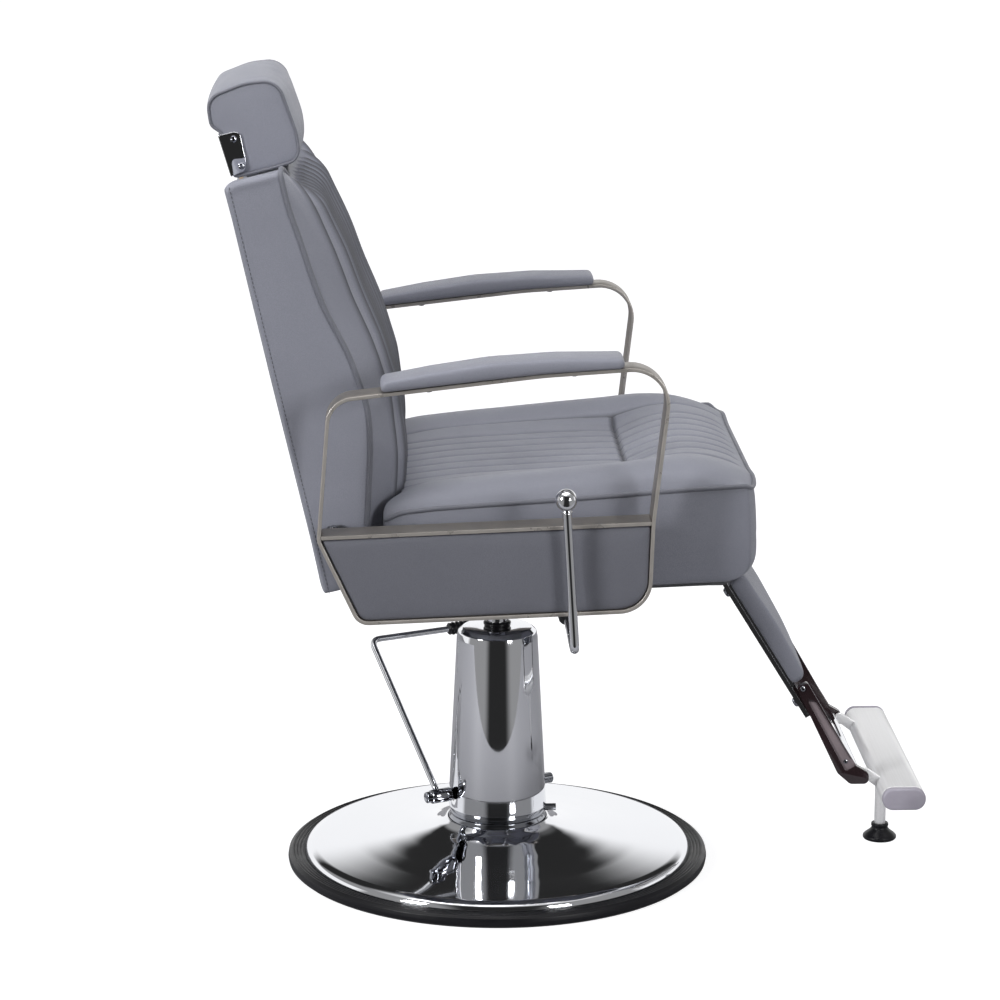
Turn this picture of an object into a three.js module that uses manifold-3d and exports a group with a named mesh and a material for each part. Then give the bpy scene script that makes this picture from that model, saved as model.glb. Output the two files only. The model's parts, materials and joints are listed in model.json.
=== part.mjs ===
// Hydraulic barber chair with a reclining back, a coupled leg rest and a flip-up footplate.
// Millimetres, +Z up, +X towards the sitter's feet, origin on the floor under the column's axis.
import * as THREE from 'three';
import { mergeVertices } from 'three/addons/utils/BufferGeometryUtils.js';
import Module from 'manifold-3d';

const wasm = await Module();
wasm.setup();

// ---------------------------------------------------------------- driving dimensions
const GAP = 0.3;                 // clearance between pieces that touch or run in each other
const SMOOTH = 28;               // facets of a large round piece
const ROUND = 12;                // facets of a small round piece

const BASE_R = 300;              // floor ring, outer radius
const DISH_R = 276;              // chrome dish, outer radius
const RING_TOP = 18;             // height of the rubber ring
const NECK_R = 70;               // opening in the middle of the dish
const COVER_BOTTOM = 81;         // column cover, lower edge
const COVER_TOP = 345;           // column cover, upper face
const COVER_R_LOW = 70;          // column cover radius at its lower edge
const COVER_R_HIGH = 57.5;       // column cover radius at its shoulder
const PUMP_R = 45;               // pump housing radius
const PUMP_TOP = 330;            // pump housing, upper face
const RAM_R = 13.5;              // ram radius
const RAM_BOTTOM = 125;          // lower end of the ram when the chair is down
const RAM_TOP = 443;             // upper end of the ram when the chair is down

const VALVE_R = 5;               // oil plug radius
const VALVE_Z = 74;              // height of the oil plug
const VALVE_START = 30;          // oil plug's inner end, from the column's axis
const VALVE_END = 84;            // oil plug's outer end, from the column's axis
const SHAFT_TURN = 0.45;         // plan angle of the pump's cross shaft, radians from +X
const SHAFT_Z = 106;             // height of the cross shaft
const SHAFT_R = 8;               // cross shaft radius
const LEVER_RISE = 0.682;        // slope of the pedal lever, radians above the floor
const LEVER_LENGTH = 279;        // cross shaft to the pedal bar
const PEDAL_LENGTH = 220;        // length of the pedal bar
const LEVER_R = 4.5;             // radius of the bent lever rod

const SEAT_Z = 463;              // underside of the seat cushion over the column
const SEAT_TILT = 2.1 * Math.PI / 180;   // the seat rises towards its front edge
const SEAT_HALF = 265;           // half the seat cushion's width
const ARM_Y = 317;               // middle of an arm band
const BAND_WIDTH = 45;           // width of an arm band
const BAND_THICK = 5;            // thickness of an arm band
const PAD_WIDTH = 64;            // width of an arm pad
const STRIP_TOP = 106.6;         // cross strip, upper face above the seat underside
const RAIL_Y = 172.5;            // middle of a seat rail
const RAIL_WIDTH = 25;           // width of a seat rail
const RAIL_TOP = -11;            // rail's upper face, from the seat underside
const RAIL_LOW = -24;            // rail's lower face, from the seat underside

const BACK_PIVOT = [-185, 452];  // recline axis, x and z
const LEG_PIVOT = [300, 457];    // leg rest axis, x and z
const TUBE_R = 10;               // back pivot tube radius
const LEG_TUBE_R = 8;            // leg rest pivot tube radius
const PIN_R = 5;                 // crank pin radius
const TOE_PIN_R = 4;             // footplate pin radius
const RELEASE_R = 6;             // release lever's rod radius
const OPEN_PLAY = 1.5;           // play at the link's front end, where the loop closes
const CRANK = 45;                // crank length of both arms of the parallelogram
const LINK_Y = 102.5;            // middle of the link bar
const BACK_FOOT = [-244, 459];   // lower rear edge of the back
const BACK_LEAN = 12.74 * Math.PI / 180;  // lean of the back's rear face
const BACK_HALF = 250;           // half the back cushion's width
const POST_X = 29.3;             // middle of the headrest post, in front of the back's rear face
const HEAD_HALF = 130;           // half the headrest cushion's width

const LEG_SLOPE = 58.3 * Math.PI / 180;   // leg rest hangs this far below level
const CALF_LENGTH = 194;         // pivot to the calf pad's lower end
const CALF_HALF = 149;           // half the calf pad's width
const TOE_PIN = [499, 163];      // footplate's flip axis, x and z
const FOOT_X = 555;              // middle of the footplate
const FOOT_Z = 144.5;            // middle of the footplate
const FOOT_HALF = 200;           // half the footplate's width
const PROP_X = 552;              // middle of the foot tube
const PROP_R = 8;                // radius of the foot tube
const PROP_LOW = 30;             // lower end of the foot tube

// ---------------------------------------------------------------- finishes
const finish = (color, roughness, metalness) => () =>
  new THREE.MeshStandardMaterial({ color, roughness, metalness });
const chrome = finish(0xd8dadc, 0.08, 1);
const steel = finish(0x55585c, 0.45, 0.9);
const nickel = finish(0x8a847c, 0.3, 0.95);
const leather = finish(0x83858f, 0.5, 0);
const darkLeather = finish(0x6b6e79, 0.55, 0);
const rubber = finish(0x141416, 0.7, 0);
const aluminium = finish(0xe6e7e8, 0.25, 0.9);
const plastic = finish(0xa4a0aa, 0.5, 0);
const gloss = finish(0x1d1719, 0.15, 0.4);
const wood = finish(0xb08a5c, 0.7, 0);

// ---------------------------------------------------------------- shape helpers
// A closed outline from corner points [x, z, radius], each corner rounded by an arc.
function rounded(corners, steps = 3) {
  const points = [];
  const count = corners.length;
  corners.forEach(([x, z, radius], i) => {
    const corner = new THREE.Vector2(x, z);
    const [px, pz] = corners[(i + count - 1) % count];
    const [nx, nz] = corners[(i + 1) % count];
    if (!radius) {
      points.push(corner);
      return;
    }
    const before = new THREE.Vector2(px, pz).sub(corner).normalize();
    const after = new THREE.Vector2(nx, nz).sub(corner).normalize();
    const half = Math.acos(THREE.MathUtils.clamp(before.dot(after), -1, 1)) / 2;
    const room = 0.48 * Math.min(Math.hypot(px - x, pz - z), Math.hypot(nx - x, nz - z));
    const reach = Math.min(radius / Math.tan(half), room);
    const centre = before.clone().add(after).normalize()
      .multiplyScalar(reach / Math.cos(half)).add(corner);
    const start = before.clone().multiplyScalar(reach).add(corner).sub(centre);
    const end = after.clone().multiplyScalar(reach).add(corner).sub(centre);
    const turn = Math.atan2(start.cross(end), start.dot(end));
    for (let k = 0; k <= steps; k += 1) {
      points.push(start.clone().rotateAround(new THREE.Vector2(), turn * k / steps).add(centre));
    }
  });
  return points;
}

// The same outline moved inwards by a distance, for a counter-clockwise outline.
function inset(points, distance) {
  const count = points.length;
  return points.map((point, i) => {
    const along = points[(i + 1) % count].clone().sub(points[(i + count - 1) % count]).normalize();
    return new THREE.Vector2(point.x - along.y * distance, point.y + along.x * distance);
  });
}

// Extrudes an x-z outline along Y between two distances; holes are outlines too.
function slab(points, from, to, holes = [], bevel = 0) {
  const shape = new THREE.Shape(points);
  holes.forEach((hole) => shape.holes.push(new THREE.Path(hole)));
  const geometry = new THREE.ExtrudeGeometry(shape, {
    depth: to - from - 2 * bevel,
    bevelEnabled: bevel > 0,
    bevelThickness: bevel,
    bevelSize: bevel,
    bevelOffset: -bevel,
    bevelSegments: 2,
  });
  geometry.rotateX(Math.PI / 2);
  geometry.translate(0, to - bevel, 0);
  return geometry;
}

// A circle in the x-z plane, as an outline or a hole.
function circle(x, z, radius, facets = ROUND) {
  const points = [];
  for (let k = 0; k < facets; k += 1) {
    const angle = 2 * Math.PI * k / facets;
    points.push(new THREE.Vector2(x + radius * Math.cos(angle), z + radius * Math.sin(angle)));
  }
  return points;
}

// A round hole that a faceted bar of the given radius turns in freely.
function bore(x, z, radius, facets = ROUND) {
  return circle(x, z, (radius + GAP) / Math.cos(Math.PI / facets), facets);
}

// A plain block between two corners.
function block(low, high) {
  const size = high.map((value, i) => value - low[i]);
  const geometry = new THREE.BoxGeometry(...size);
  geometry.translate(...low.map((value, i) => value + size[i] / 2));
  return geometry;
}

// A solid turned about the vertical axis from a closed profile of [radius, height] points.
function turned(profile, facets = SMOOTH) {
  const points = profile.concat([profile[0]]).map(([radius, height]) => new THREE.Vector2(radius, height));
  const geometry = new THREE.LatheGeometry(points, facets);
  geometry.rotateX(Math.PI / 2);
  return geometry;
}

// A solid turned from a profile whose first and last points lie on the axis.
function turnedSolid(profile, facets = ROUND) {
  const points = profile.map(([radius, height]) => new THREE.Vector2(radius, height));
  const geometry = new THREE.LatheGeometry(points, facets);
  geometry.rotateX(Math.PI / 2);
  return geometry;
}

// A round bar along Y.
function barY(x, z, radius, from, to, facets = ROUND) {
  const geometry = new THREE.CylinderGeometry(radius, radius, to - from, facets);
  geometry.translate(x, (from + to) / 2, z);
  return geometry;
}

// A round rod bent along a list of points, its bends rounded.
function bentRod(points, radius, bend) {
  const path = new THREE.CurvePath();
  let last = points[0];
  for (let i = 1; i < points.length - 1; i += 1) {
    const start = points[i].clone().lerp(points[i - 1], bend / points[i].distanceTo(points[i - 1]));
    const end = points[i].clone().lerp(points[i + 1], bend / points[i].distanceTo(points[i + 1]));
    path.add(new THREE.LineCurve3(last, start));
    path.add(new THREE.QuadraticBezierCurve3(start, points[i], end));
    last = end;
  }
  path.add(new THREE.LineCurve3(last, points.at(-1)));
  const section = new THREE.Shape(circle(0, 0, radius, 8));
  return new THREE.ExtrudeGeometry(section, { steps: 20, extrudePath: path });
}

// three.js geometry to a manifold solid and back, for cutting and joining.
function toSolid(geometry) {
  const bare = geometry.clone();
  bare.deleteAttribute('normal');
  bare.deleteAttribute('uv');
  const merged = mergeVertices(bare, 1e-4);
  const mesh = new wasm.Mesh({
    numProp: 3,
    vertProperties: new Float32Array(merged.attributes.position.array),
    triVerts: new Uint32Array(merged.index.array),
  });
  return new wasm.Manifold(mesh);
}

function toGeometry(solid) {
  const mesh = solid.getMesh();
  const geometry = new THREE.BufferGeometry();
  geometry.setAttribute('position', new THREE.BufferAttribute(mesh.vertProperties, 3));
  geometry.setIndex(new THREE.BufferAttribute(mesh.triVerts, 1));
  geometry.computeVertexNormals();
  return geometry;
}

function cut(geometry, ...tools) {
  return toGeometry(tools.reduce((solid, tool) => solid.subtract(toSolid(tool)), toSolid(geometry)));
}

function join(geometry, ...others) {
  return toGeometry(others.reduce((solid, other) => solid.add(toSolid(other)), toSolid(geometry)));
}

function common(geometry, other) {
  return toGeometry(toSolid(geometry).intersect(toSolid(other)));
}

// Puts a named piece in a group.
function add(group, name, geometry, material) {
  const mesh = new THREE.Mesh(geometry, material());
  mesh.name = name;
  group.add(mesh);
  return mesh;
}

// Runs a maker for the right-hand side (-Y) and for the left-hand side (+Y).
function bothSides(make) {
  [['right', -1], ['left', 1]].forEach(([name, side]) => make(name, side));
}

// Two distances from the middle plane, as a low-to-high pair on one side of the chair.
function span(side, near, far) {
  return side > 0 ? [near, far] : [-far, -near];
}

// ---------------------------------------------------------------- base and column
function makeBase(group) {
  add(group, 'floor_plate', turnedSolid([[0, 0], [265, 0], [265, 5], [0, 5]], SMOOTH), steel);
  add(group, 'edge_ring', turned([
    [DISH_R + GAP, 0], [294, 0], [299, 4], [BASE_R, 10], [298.5, 16], [293, RING_TOP],
    [DISH_R + GAP, RING_TOP - 2],
  ]), rubber);
  add(group, 'base_dish', turned([
    [DISH_R, 10], [DISH_R, 19], [272, 25], [264, 27.5], [240, 29.5], [200, 33], [160, 37.5],
    [120, 43.5], [95, 49.5], [80, 56.5], [NECK_R + 3, 64], [NECK_R, 63], [78, 53.5], [94, 46.5],
    [119, 40.5], [160, 34.5], [200, 30], [240, 26.5], [262, 24.5], [270, 21], [273, 10],
  ]), chrome);
  const collar = turned([
    [PUMP_R + 1, 54], [NECK_R - 0.5, 54], [NECK_R - 0.5, 65], [66, 70], [66, COVER_BOTTOM - GAP],
    [PUMP_R + 1, COVER_BOTTOM - GAP],
  ]);
  add(group, 'neck_collar', cut(collar, valveBar(VALVE_R + GAP)), chrome);
  const housing = turnedSolid([
    [0, 5 + GAP], [60, 5 + GAP], [60, 16], [PUMP_R, 22], [PUMP_R, PUMP_TOP],
    [RAM_R + GAP, PUMP_TOP], [RAM_R + GAP, RAM_BOTTOM - 3], [0, RAM_BOTTOM - 3],
  ], SMOOTH);
  add(group, 'pump_body', cut(housing, shaftBar(SHAFT_R + GAP, -90, 90), valveBar(VALVE_R + GAP)), steel);
  const cover = turned([
    [COVER_R_LOW, COVER_BOTTOM], [COVER_R_HIGH, 329], [55.5, 338], [49, 343], [18, COVER_TOP],
    [18, COVER_TOP - 3], [48, 340], [53, 335], [54.5, 328], [COVER_R_LOW - 3, COVER_BOTTOM],
  ]);
  add(group, 'column_cover', cut(cover, shaftBar(SHAFT_R + 1, -120, 120)), chrome);
  add(group, 'ram_guide', turned([
    [RAM_R + GAP, PUMP_TOP + GAP], [18 - GAP, PUMP_TOP + GAP], [18 - GAP, 348], [16, 350],
    [RAM_R + GAP, 350],
  ], ROUND + 4), rubber);
  add(group, 'valve_bolt', valveBar(VALVE_R), steel);
}

// The oil plug's stub in the neck, under the cross shaft on the front side.
function valveBar(radius) {
  const geometry = new THREE.CylinderGeometry(radius, radius, VALVE_END - VALVE_START, ROUND);
  geometry.rotateZ(Math.PI / 2);
  geometry.translate((VALVE_START + VALVE_END) / 2, 0, VALVE_Z);
  return geometry;
}

// A round bar on the cross shaft's axis between two distances from the column's axis.
function shaftBar(radius, from, to) {
  const geometry = new THREE.CylinderGeometry(radius, radius, to - from, ROUND);
  geometry.rotateZ(Math.PI / 2);
  geometry.translate((from + to) / 2, 0, 0);
  geometry.rotateZ(SHAFT_TURN);
  geometry.translate(0, 0, SHAFT_Z);
  return geometry;
}

// ---------------------------------------------------------------- pump pedal
const SOCKET_AT = -94;           // lever socket, along the cross shaft

function makePedal(group) {
  const alongShaft = new THREE.Vector3(Math.cos(SHAFT_TURN), Math.sin(SHAFT_TURN), 0);
  const across = new THREE.Vector3(-Math.sin(SHAFT_TURN), Math.cos(SHAFT_TURN), 0);
  const rise = across.clone().multiplyScalar(Math.cos(LEVER_RISE));
  rise.z = Math.sin(LEVER_RISE);
  const socket = alongShaft.clone().multiplyScalar(SOCKET_AT);
  socket.z = SHAFT_Z;
  const foot = rise.clone().multiplyScalar(10 + GAP).add(socket);
  const elbow = rise.clone().multiplyScalar(LEVER_LENGTH).add(socket);
  const end = alongShaft.clone().multiplyScalar(PEDAL_LENGTH).add(elbow);
  add(group, 'pump_shaft', join(shaftBar(SHAFT_R, -114, 88), shaftBar(10, -106, -76)), chrome);
  add(group, 'pedal_lever', bentRod([foot, elbow, end], LEVER_R, 14), chrome);
  const grip = turned([
    [LEVER_R + GAP, 0], [9, 0], [10, 3], [10, 92], [8, 95], [LEVER_R + GAP, 95],
  ], ROUND);
  grip.rotateY(Math.PI / 2);
  grip.rotateZ(SHAFT_TURN);
  const gripStart = end.clone().addScaledVector(alongShaft, -94);
  grip.translate(...gripStart.toArray());
  add(group, 'pedal_grip', grip, rubber);
}

function makeRam(group) {
  add(group, 'ram', turnedSolid([[0, RAM_BOTTOM], [RAM_R, RAM_BOTTOM], [RAM_R, RAM_TOP], [0, RAM_TOP]],
    ROUND + 4), chrome);
}

// ---------------------------------------------------------------- seat frame and cushion
const CROSS_TOP = -1.7;          // cross bar, upper face from the seat underside
const BAND_LOW = -16;            // arm band, lower face from the seat underside

function makeSeatFrame(tilted, upright) {
  add(upright, 'seat_hub', turned([
    [RAM_R + GAP, 405], [26, 405], [29, 408], [29, 444], [RAM_R + GAP, 444],
  ], ROUND + 4), steel);
  add(tilted, 'mount_plate', block([-95, -78, RAIL_TOP - 6], [95, 78, RAIL_TOP - GAP]), steel);
  bothSides((name, side) => {
    const [near, far] = span(side, RAIL_Y - RAIL_WIDTH / 2, RAIL_Y + RAIL_WIDTH / 2);
    add(tilted, `seat_rail_${name}`, block([-150, near, RAIL_LOW], [285, far, RAIL_TOP]), steel);
    const [backNear, backFar] = span(side, 185.4, 191.4);
    const backPlate = rounded([[-185, 434, 14], [-96, 434, 3], [-96, 445, 3], [-160, 445, 3],
      [-167, 470, 14], [-203, 470, 14], [-203, 440, 14]]);
    add(upright, `back_bracket_${name}`,
      slab(backPlate, backNear, backFar, [bore(...BACK_PIVOT, TUBE_R)]), steel);
    const [legNear, legFar] = span(side, 154.4, 159.6);
    const legPlate = rounded([[230, 446, 3], [286, 442.5, 12], [314, 442.5, 13], [314, 471, 13],
      [286, 471, 10], [276, 460, 3], [230, 458, 3]]);
    add(upright, `leg_bracket_${name}`,
      slab(legPlate, legNear, legFar, [bore(...LEG_PIVOT, LEG_TUBE_R)]), steel);
  });
  [['front', 100], ['rear', -110]].forEach(([name, x]) => {
    add(tilted, `cross_bar_${name}`, block([x - 20, -308, RAIL_TOP + GAP], [x + 20, 308, CROSS_TOP]), steel);
  });
  add(tilted, 'seat_board', block([-112, -240, GAP], [286, 240, 12]), wood);
  add(tilted, 'seat_cushion', makeSeatCushion(), leather);
}

// The seat cushion: a thick pad with a raised front roll, its board let into the underside.
function makeSeatCushion() {
  const side = rounded([
    [-128, 0, 10], [340, 1, 32], [341, 132, 18], [316, 152, 30], [262, 164, 60], [150, 157, 200],
    [-40, 147, 100], [-124, 140, 20], [-128, 100, 10], [-149, 76, 8], [-149, 26, 8], [-128, 16, 6],
  ]);
  const cushion = slab(side, -SEAT_HALF, SEAT_HALF, [], 4);
  return cut(cushion, block([-112 - GAP, -240 - GAP, -1], [286 + GAP, 240 + GAP, 12 + GAP]));
}

// ---------------------------------------------------------------- arms
// Corners of the arm band's outer face, counter-clockwise from the lower front corner.
const BAND_CORNERS = [
  [190, BAND_LOW, 44], [199, 106, 300], [231, 314, 50], [60, 309.5, 700], [-222, 288, 38],
  [-244.5, 100, 14], [-196, BAND_LOW, 22],
];

function makeArms(tilted) {
  const outer = rounded(BAND_CORNERS, 5);
  const inner = inset(outer, BAND_THICK);
  const lining = slab(inset(outer, BAND_THICK + GAP), 0, 1000);
  bothSides((name, side) => {
    const [near, far] = span(side, ARM_Y - BAND_WIDTH / 2, ARM_Y + BAND_WIDTH / 2);
    add(tilted, `arm_band_${name}`, slab(outer, near, far, [inner.slice().reverse()]), nickel);
    add(tilted, `arm_strip_${name}`, fitInside(lining, side, BAND_WIDTH / 2, BAND_WIDTH / 2,
      STRIP_TOP - BAND_THICK, STRIP_TOP), nickel);
    add(tilted, `side_panel_${name}`, fitInside(lining, side, 6, BAND_WIDTH / 2 - 2.5,
      -50, STRIP_TOP - BAND_THICK - GAP), darkLeather);
    add(tilted, `arm_pad_${name}`, makeArmPad(side), leather);
  });
}

// What fits inside the band's loop, between two heights and two distances from its middle plane.
function fitInside(lining, side, inward, outward, low, high) {
  const [near, far] = span(side, ARM_Y - inward, ARM_Y + outward);
  const shifted = lining.clone();
  shifted.translate(0, side > 0 ? 0 : -1000, 0);
  return common(shifted, block([-400, near, low], [400, far, high]));
}

function makeArmPad(side) {
  const [near, far] = span(side, ARM_Y - PAD_WIDTH / 2, ARM_Y + PAD_WIDTH / 2);
  const profile = rounded([
    [-151, 295, 5], [-20, 305, 600], [60, 310.7, 300], [164, 313, 5], [163, 327, 6], [73, 330, 300],
    [-10, 327.5, 300], [-86, 319, 200], [-151, 308, 7],
  ], 2);
  return slab(profile, near, far, [], 2.5);
}

// ---------------------------------------------------------------- recline release lever
const LEVER_Y = 360;             // the lever stands outside the right-hand arm
const RELEASE_PIVOT = [89, 407]; // its axis, x and z

function makeRelease(group, seatGroup) {
  const ball = new THREE.Vector3(76.8, -LEVER_Y, 612.3);
  const low = new THREE.Vector3(RELEASE_PIVOT[0], -LEVER_Y, RELEASE_PIVOT[1]);
  const inner = new THREE.Vector3(RELEASE_PIVOT[0], -112, RELEASE_PIVOT[1]);
  const top = ball.clone().lerp(low, 15 / ball.distanceTo(low));
  add(group, 'release_lever', bentRod([top, low, inner], RELEASE_R, 14), chrome);
  const knob = new THREE.SphereGeometry(14.5, ROUND, 8);
  knob.rotateX(Math.PI / 2);
  knob.translate(...ball.toArray());
  add(group, 'ball_knob', knob, chrome);
  const [x, z] = RELEASE_PIVOT;
  const bearing = rounded([[x - 12, z - 12, 11], [x + 12, z - 12, 11], [x + 14, 441.4, 0], [x - 14, 441.4, 0]]);
  add(seatGroup, 'lever_bracket', slab(bearing, -184, -161, [bore(x, z, RELEASE_R)]), steel);
}

// ---------------------------------------------------------------- back
function makeBack(leaning, upright) {
  add(leaning, 'back_board', block([7, -225, 14], [19, 225, 532]), wood);
  const guideOuter = block([POST_X - 8.5, -24.5, 360], [POST_X + 8.5, 24.5, 545]);
  const guideInner = block([POST_X - 4.5, -20.5, 366], [POST_X + 4.5, 20.5, 560]);
  add(leaning, 'headrest_guide', cut(guideOuter, guideInner), steel);
  add(upright, 'back_cushion', makeBackCushion(), leather);
  bothSides((name, side) => {
    const [near, far] = span(side, 256, 262);
    const [x, z] = BACK_PIVOT;
    const plate = rounded([[x - 16, z - 16, 15], [x + 18, z - 16, 15], [x + 16, z + 16, 12],
      [-208, 556, 12], [-246, 556, 12], [x - 20, z + 8, 12]]);
    add(upright, `back_arm_${name}`, slab(plate, near, far), steel);
  });
  const tube = barY(...BACK_PIVOT, TUBE_R, -256 + GAP, 256 - GAP);
  add(upright, 'back_pivot_tube', join(tube, crankPlate(BACK_PIVOT, TUBE_R), crankPin(BACK_PIVOT)), steel);
}

// A crank plate hanging from a pivot, on the outer side of the link bar.
function crankPlate([x, z], tubeRadius) {
  const half = tubeRadius + 4;
  const plate = rounded([[x - 9, z - CRANK - 9, 8], [x + 9, z - CRANK - 9, 8], [x + half, z, 6],
    [x + half, z + half, half - 2], [x - half, z + half, half - 2], [x - half, z, 6]]);
  return slab(plate, LINK_Y + 3, LINK_Y + 9);
}

function crankPin([x, z]) {
  return barY(x, z - CRANK, PIN_R, LINK_Y - 6, LINK_Y + 5);
}

// The back cushion: deep below, tapering upwards, with a dip under the headrest.
function makeBackCushion() {
  const side = rounded([
    [-244, 459, 11], [-217, 464, 11], [-196, 500, 20], [-137, 556, 24], [-131, 640, 120],
    [-160, 792, 200], [-214, 925, 120], [-250, 1012, 40], [-354, 1016, 22], [-366, 978, 30],
  ]);
  const cushion = slab(side, -BACK_HALF, BACK_HALF, [], 6);
  const pockets = new THREE.Group();
  pockets.position.set(BACK_FOOT[0], 0, BACK_FOOT[1]);
  pockets.rotation.y = -BACK_LEAN;
  pockets.updateMatrixWorld(true);
  const boardPocket = block([7 - GAP, -225 - GAP, -40], [19 + GAP, 225 + GAP, 532 + GAP]);
  const guidePocket = block([POST_X - 9, -25, 359], [POST_X + 9, 25, 640]);
  boardPocket.applyMatrix4(pockets.matrixWorld);
  guidePocket.applyMatrix4(pockets.matrixWorld);
  const dip = block([-420, -146, 998], [-200, 146, 1100]);
  return cut(cushion, boardPocket, guidePocket, dip);
}

// ---------------------------------------------------------------- headrest
function makeHeadrest(leaning, upright) {
  const post = block([POST_X - 4, -20, 395], [POST_X + 4, 20, 604]);
  add(leaning, 'headrest_post', post, chrome);
  const side = rounded([
    [-355, 1003.5, 9], [-300, 1014, 10], [-262, 1026, 18], [-261, 1060, 60], [-287, 1143, 28],
    [-343, 1139, 60], [-399, 1116, 24], [-394, 1068, 14], [-370, 1062.5, 9],
  ]);
  const cushion = slab(side, -HEAD_HALF, HEAD_HALF, [], 5);
  const pocket = block([POST_X - 4.5, -20.5, 500], [POST_X + 4.5, 20.5, 606]);
  pocket.applyMatrix4(leaning.matrixWorld);
  add(upright, 'headrest_cushion', cut(cushion, pocket), leather);
  const flange = rounded([[-359.5, 1004, 2], [-341, 1012, 6], [-338.5, 1024, 4], [-346, 1062, 6],
    [-354, 1064.5, 4], [-376, 1059.5, 2]]);
  const rear = rounded([[-359.5, 1004, 0], [-356.4, 1005, 0], [-372.8, 1060, 0], [-376, 1059.5, 0]]);
  const outerY = HEAD_HALF + GAP + 3;
  add(upright, 'headrest_bracket', join(
    slab(flange, HEAD_HALF + GAP, outerY),
    slab(flange, -outerY, -HEAD_HALF - GAP),
    slab(rear, -outerY, outerY),
  ), chrome);
}

// ---------------------------------------------------------------- link bar
function makeLink(group) {
  const [x0, z0] = [BACK_PIVOT[0], BACK_PIVOT[1] - CRANK];
  const [x1, z1] = [LEG_PIVOT[0], LEG_PIVOT[1] - CRANK];
  const bar = rounded([[x0 - 11, z0 - 10, 9], [x1 + 12, z1 - 11, 10], [x1 + 12, z1 + 11, 10],
    [x0 - 11, z0 + 10, 9]]);
  const holes = [bore(x0, z0, PIN_R), circle(x1, z1, PIN_R + OPEN_PLAY)];
  add(group, 'link_bar', slab(bar, LINK_Y - 2.5, LINK_Y + 2.5, holes), steel);
}

// ---------------------------------------------------------------- leg rest
function makeLegRest(hanging, upright) {
  const tube = barY(...LEG_PIVOT, LEG_TUBE_R, -159, 159);
  add(upright, 'leg_pivot_tube', join(tube, crankPlate(LEG_PIVOT, LEG_TUBE_R), crankPin(LEG_PIVOT)), steel);
  bothSides((name, side) => {
    const [near, far] = span(side, 114, 136);
    const hub = barY(0, 0, 13, near, far);
    const strap = block([5, near, -6.3], [246, far, -GAP]);
    const sleeve = slab(bore(0, 0, LEG_TUBE_R), near - 1, far + 1);
    add(hanging, `leg_strap_${name}`, cut(join(hub, strap), sleeve), chrome);
    const [outNear, outFar] = span(side, 138, 150);
    add(upright, `leg_arm_${name}`,
      slab(rounded(LEG_ARM_CORNERS), outNear, outFar, [bore(...TOE_PIN, TOE_PIN_R)]), gloss);
  });
  add(hanging, 'calf_plate', block([26, -136, 0], [CALF_LENGTH + 4, 136, 4]), chrome);
  const pad = rounded([[23, 4 + GAP, 4], [CALF_LENGTH, 4 + GAP, 5], [CALF_LENGTH, 26, 14],
    [105, 31, 300], [16, 28, 8]]);
  add(hanging, 'calf_pad', slab(pad, -CALF_HALF, CALF_HALF, [], 1.8), leather);
  add(hanging, 'leg_tie', block([CALF_LENGTH + 6, -137.6, 0], [246, 137.6, 5]), gloss);
  add(upright, 'footplate_pin', barY(...TOE_PIN, TOE_PIN_R, -146, 146), chrome);
}

// Side view of a lower leg arm: a tapered bar that turns forward into a toe.
const LEG_ARM_CORNERS = [
  [409, 292, 3], [424, 299, 3], [493, 179, 12], [512, 168, 9], [512, 152, 7], [486, 152, 10],
  [468, 168, 16],
];

// ---------------------------------------------------------------- footplate
function makeFootplate(group) {
  const half = 15.5;
  const section = rounded([[FOOT_X - 30, FOOT_Z - half, half - 0.5], [FOOT_X + 30, FOOT_Z - half, half - 0.5],
    [FOOT_X + 30, FOOT_Z + half, half - 0.5], [FOOT_X - 30, FOOT_Z + half, half - 0.5]], 4);
  const [px, pz] = TOE_PIN;
  const lug = rounded([[px - 9, pz - 9, 8.5], [px + 12, pz - 10, 3], [535, 135, 2], [535, 154, 2],
    [px + 9, pz + 9, 8]]);
  const lugs = [128, -134].map((y) => slab(lug, y, y + 6));
  const bores = slab(bore(px, pz, TOE_PIN_R), -140, 140);
  add(group, 'footplate', cut(join(slab(section, -FOOT_HALF + 12, FOOT_HALF - 12), ...lugs), bores),
    aluminium);
  bothSides((name, side) => {
    const [near, far] = span(side, FOOT_HALF - 12 + GAP, FOOT_HALF);
    add(group, `end_cap_${name}`, slab(section, near, far, [], 2), plastic);
  });
  const propTop = FOOT_Z - half - GAP;
  const tube = new THREE.CylinderGeometry(PROP_R, PROP_R, propTop - PROP_LOW, ROUND);
  tube.rotateX(Math.PI / 2);
  tube.translate(PROP_X, 0, (propTop + PROP_LOW) / 2);
  add(group, 'foot_tube', tube, aluminium);
  const foot = turnedSolid([[0, 21], [22, 21], [24, 23.5], [24, 27], [18, 32], [12, 36], [11.8, 45],
    [PROP_R + GAP, 45], [PROP_R + GAP, PROP_LOW - GAP], [0, PROP_LOW - GAP]], ROUND + 4);
  foot.translate(PROP_X, 0, 0);
  add(group, 'rubber_foot', foot, rubber);
}

// ---------------------------------------------------------------- assembly
// A child group placed at an x-z point and turned about Y.
function turnedGroup(parent, x, z, angle) {
  const group = new THREE.Group();
  group.position.set(x, 0, z);
  group.rotation.y = angle;
  parent.add(group);
  group.updateMatrixWorld(true);
  return group;
}

const chair = new THREE.Group();
const tilted = turnedGroup(chair, 0, SEAT_Z, -SEAT_TILT);
const leaning = turnedGroup(chair, ...BACK_FOOT, -BACK_LEAN);
const hanging = turnedGroup(chair, ...LEG_PIVOT, LEG_SLOPE);

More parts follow.
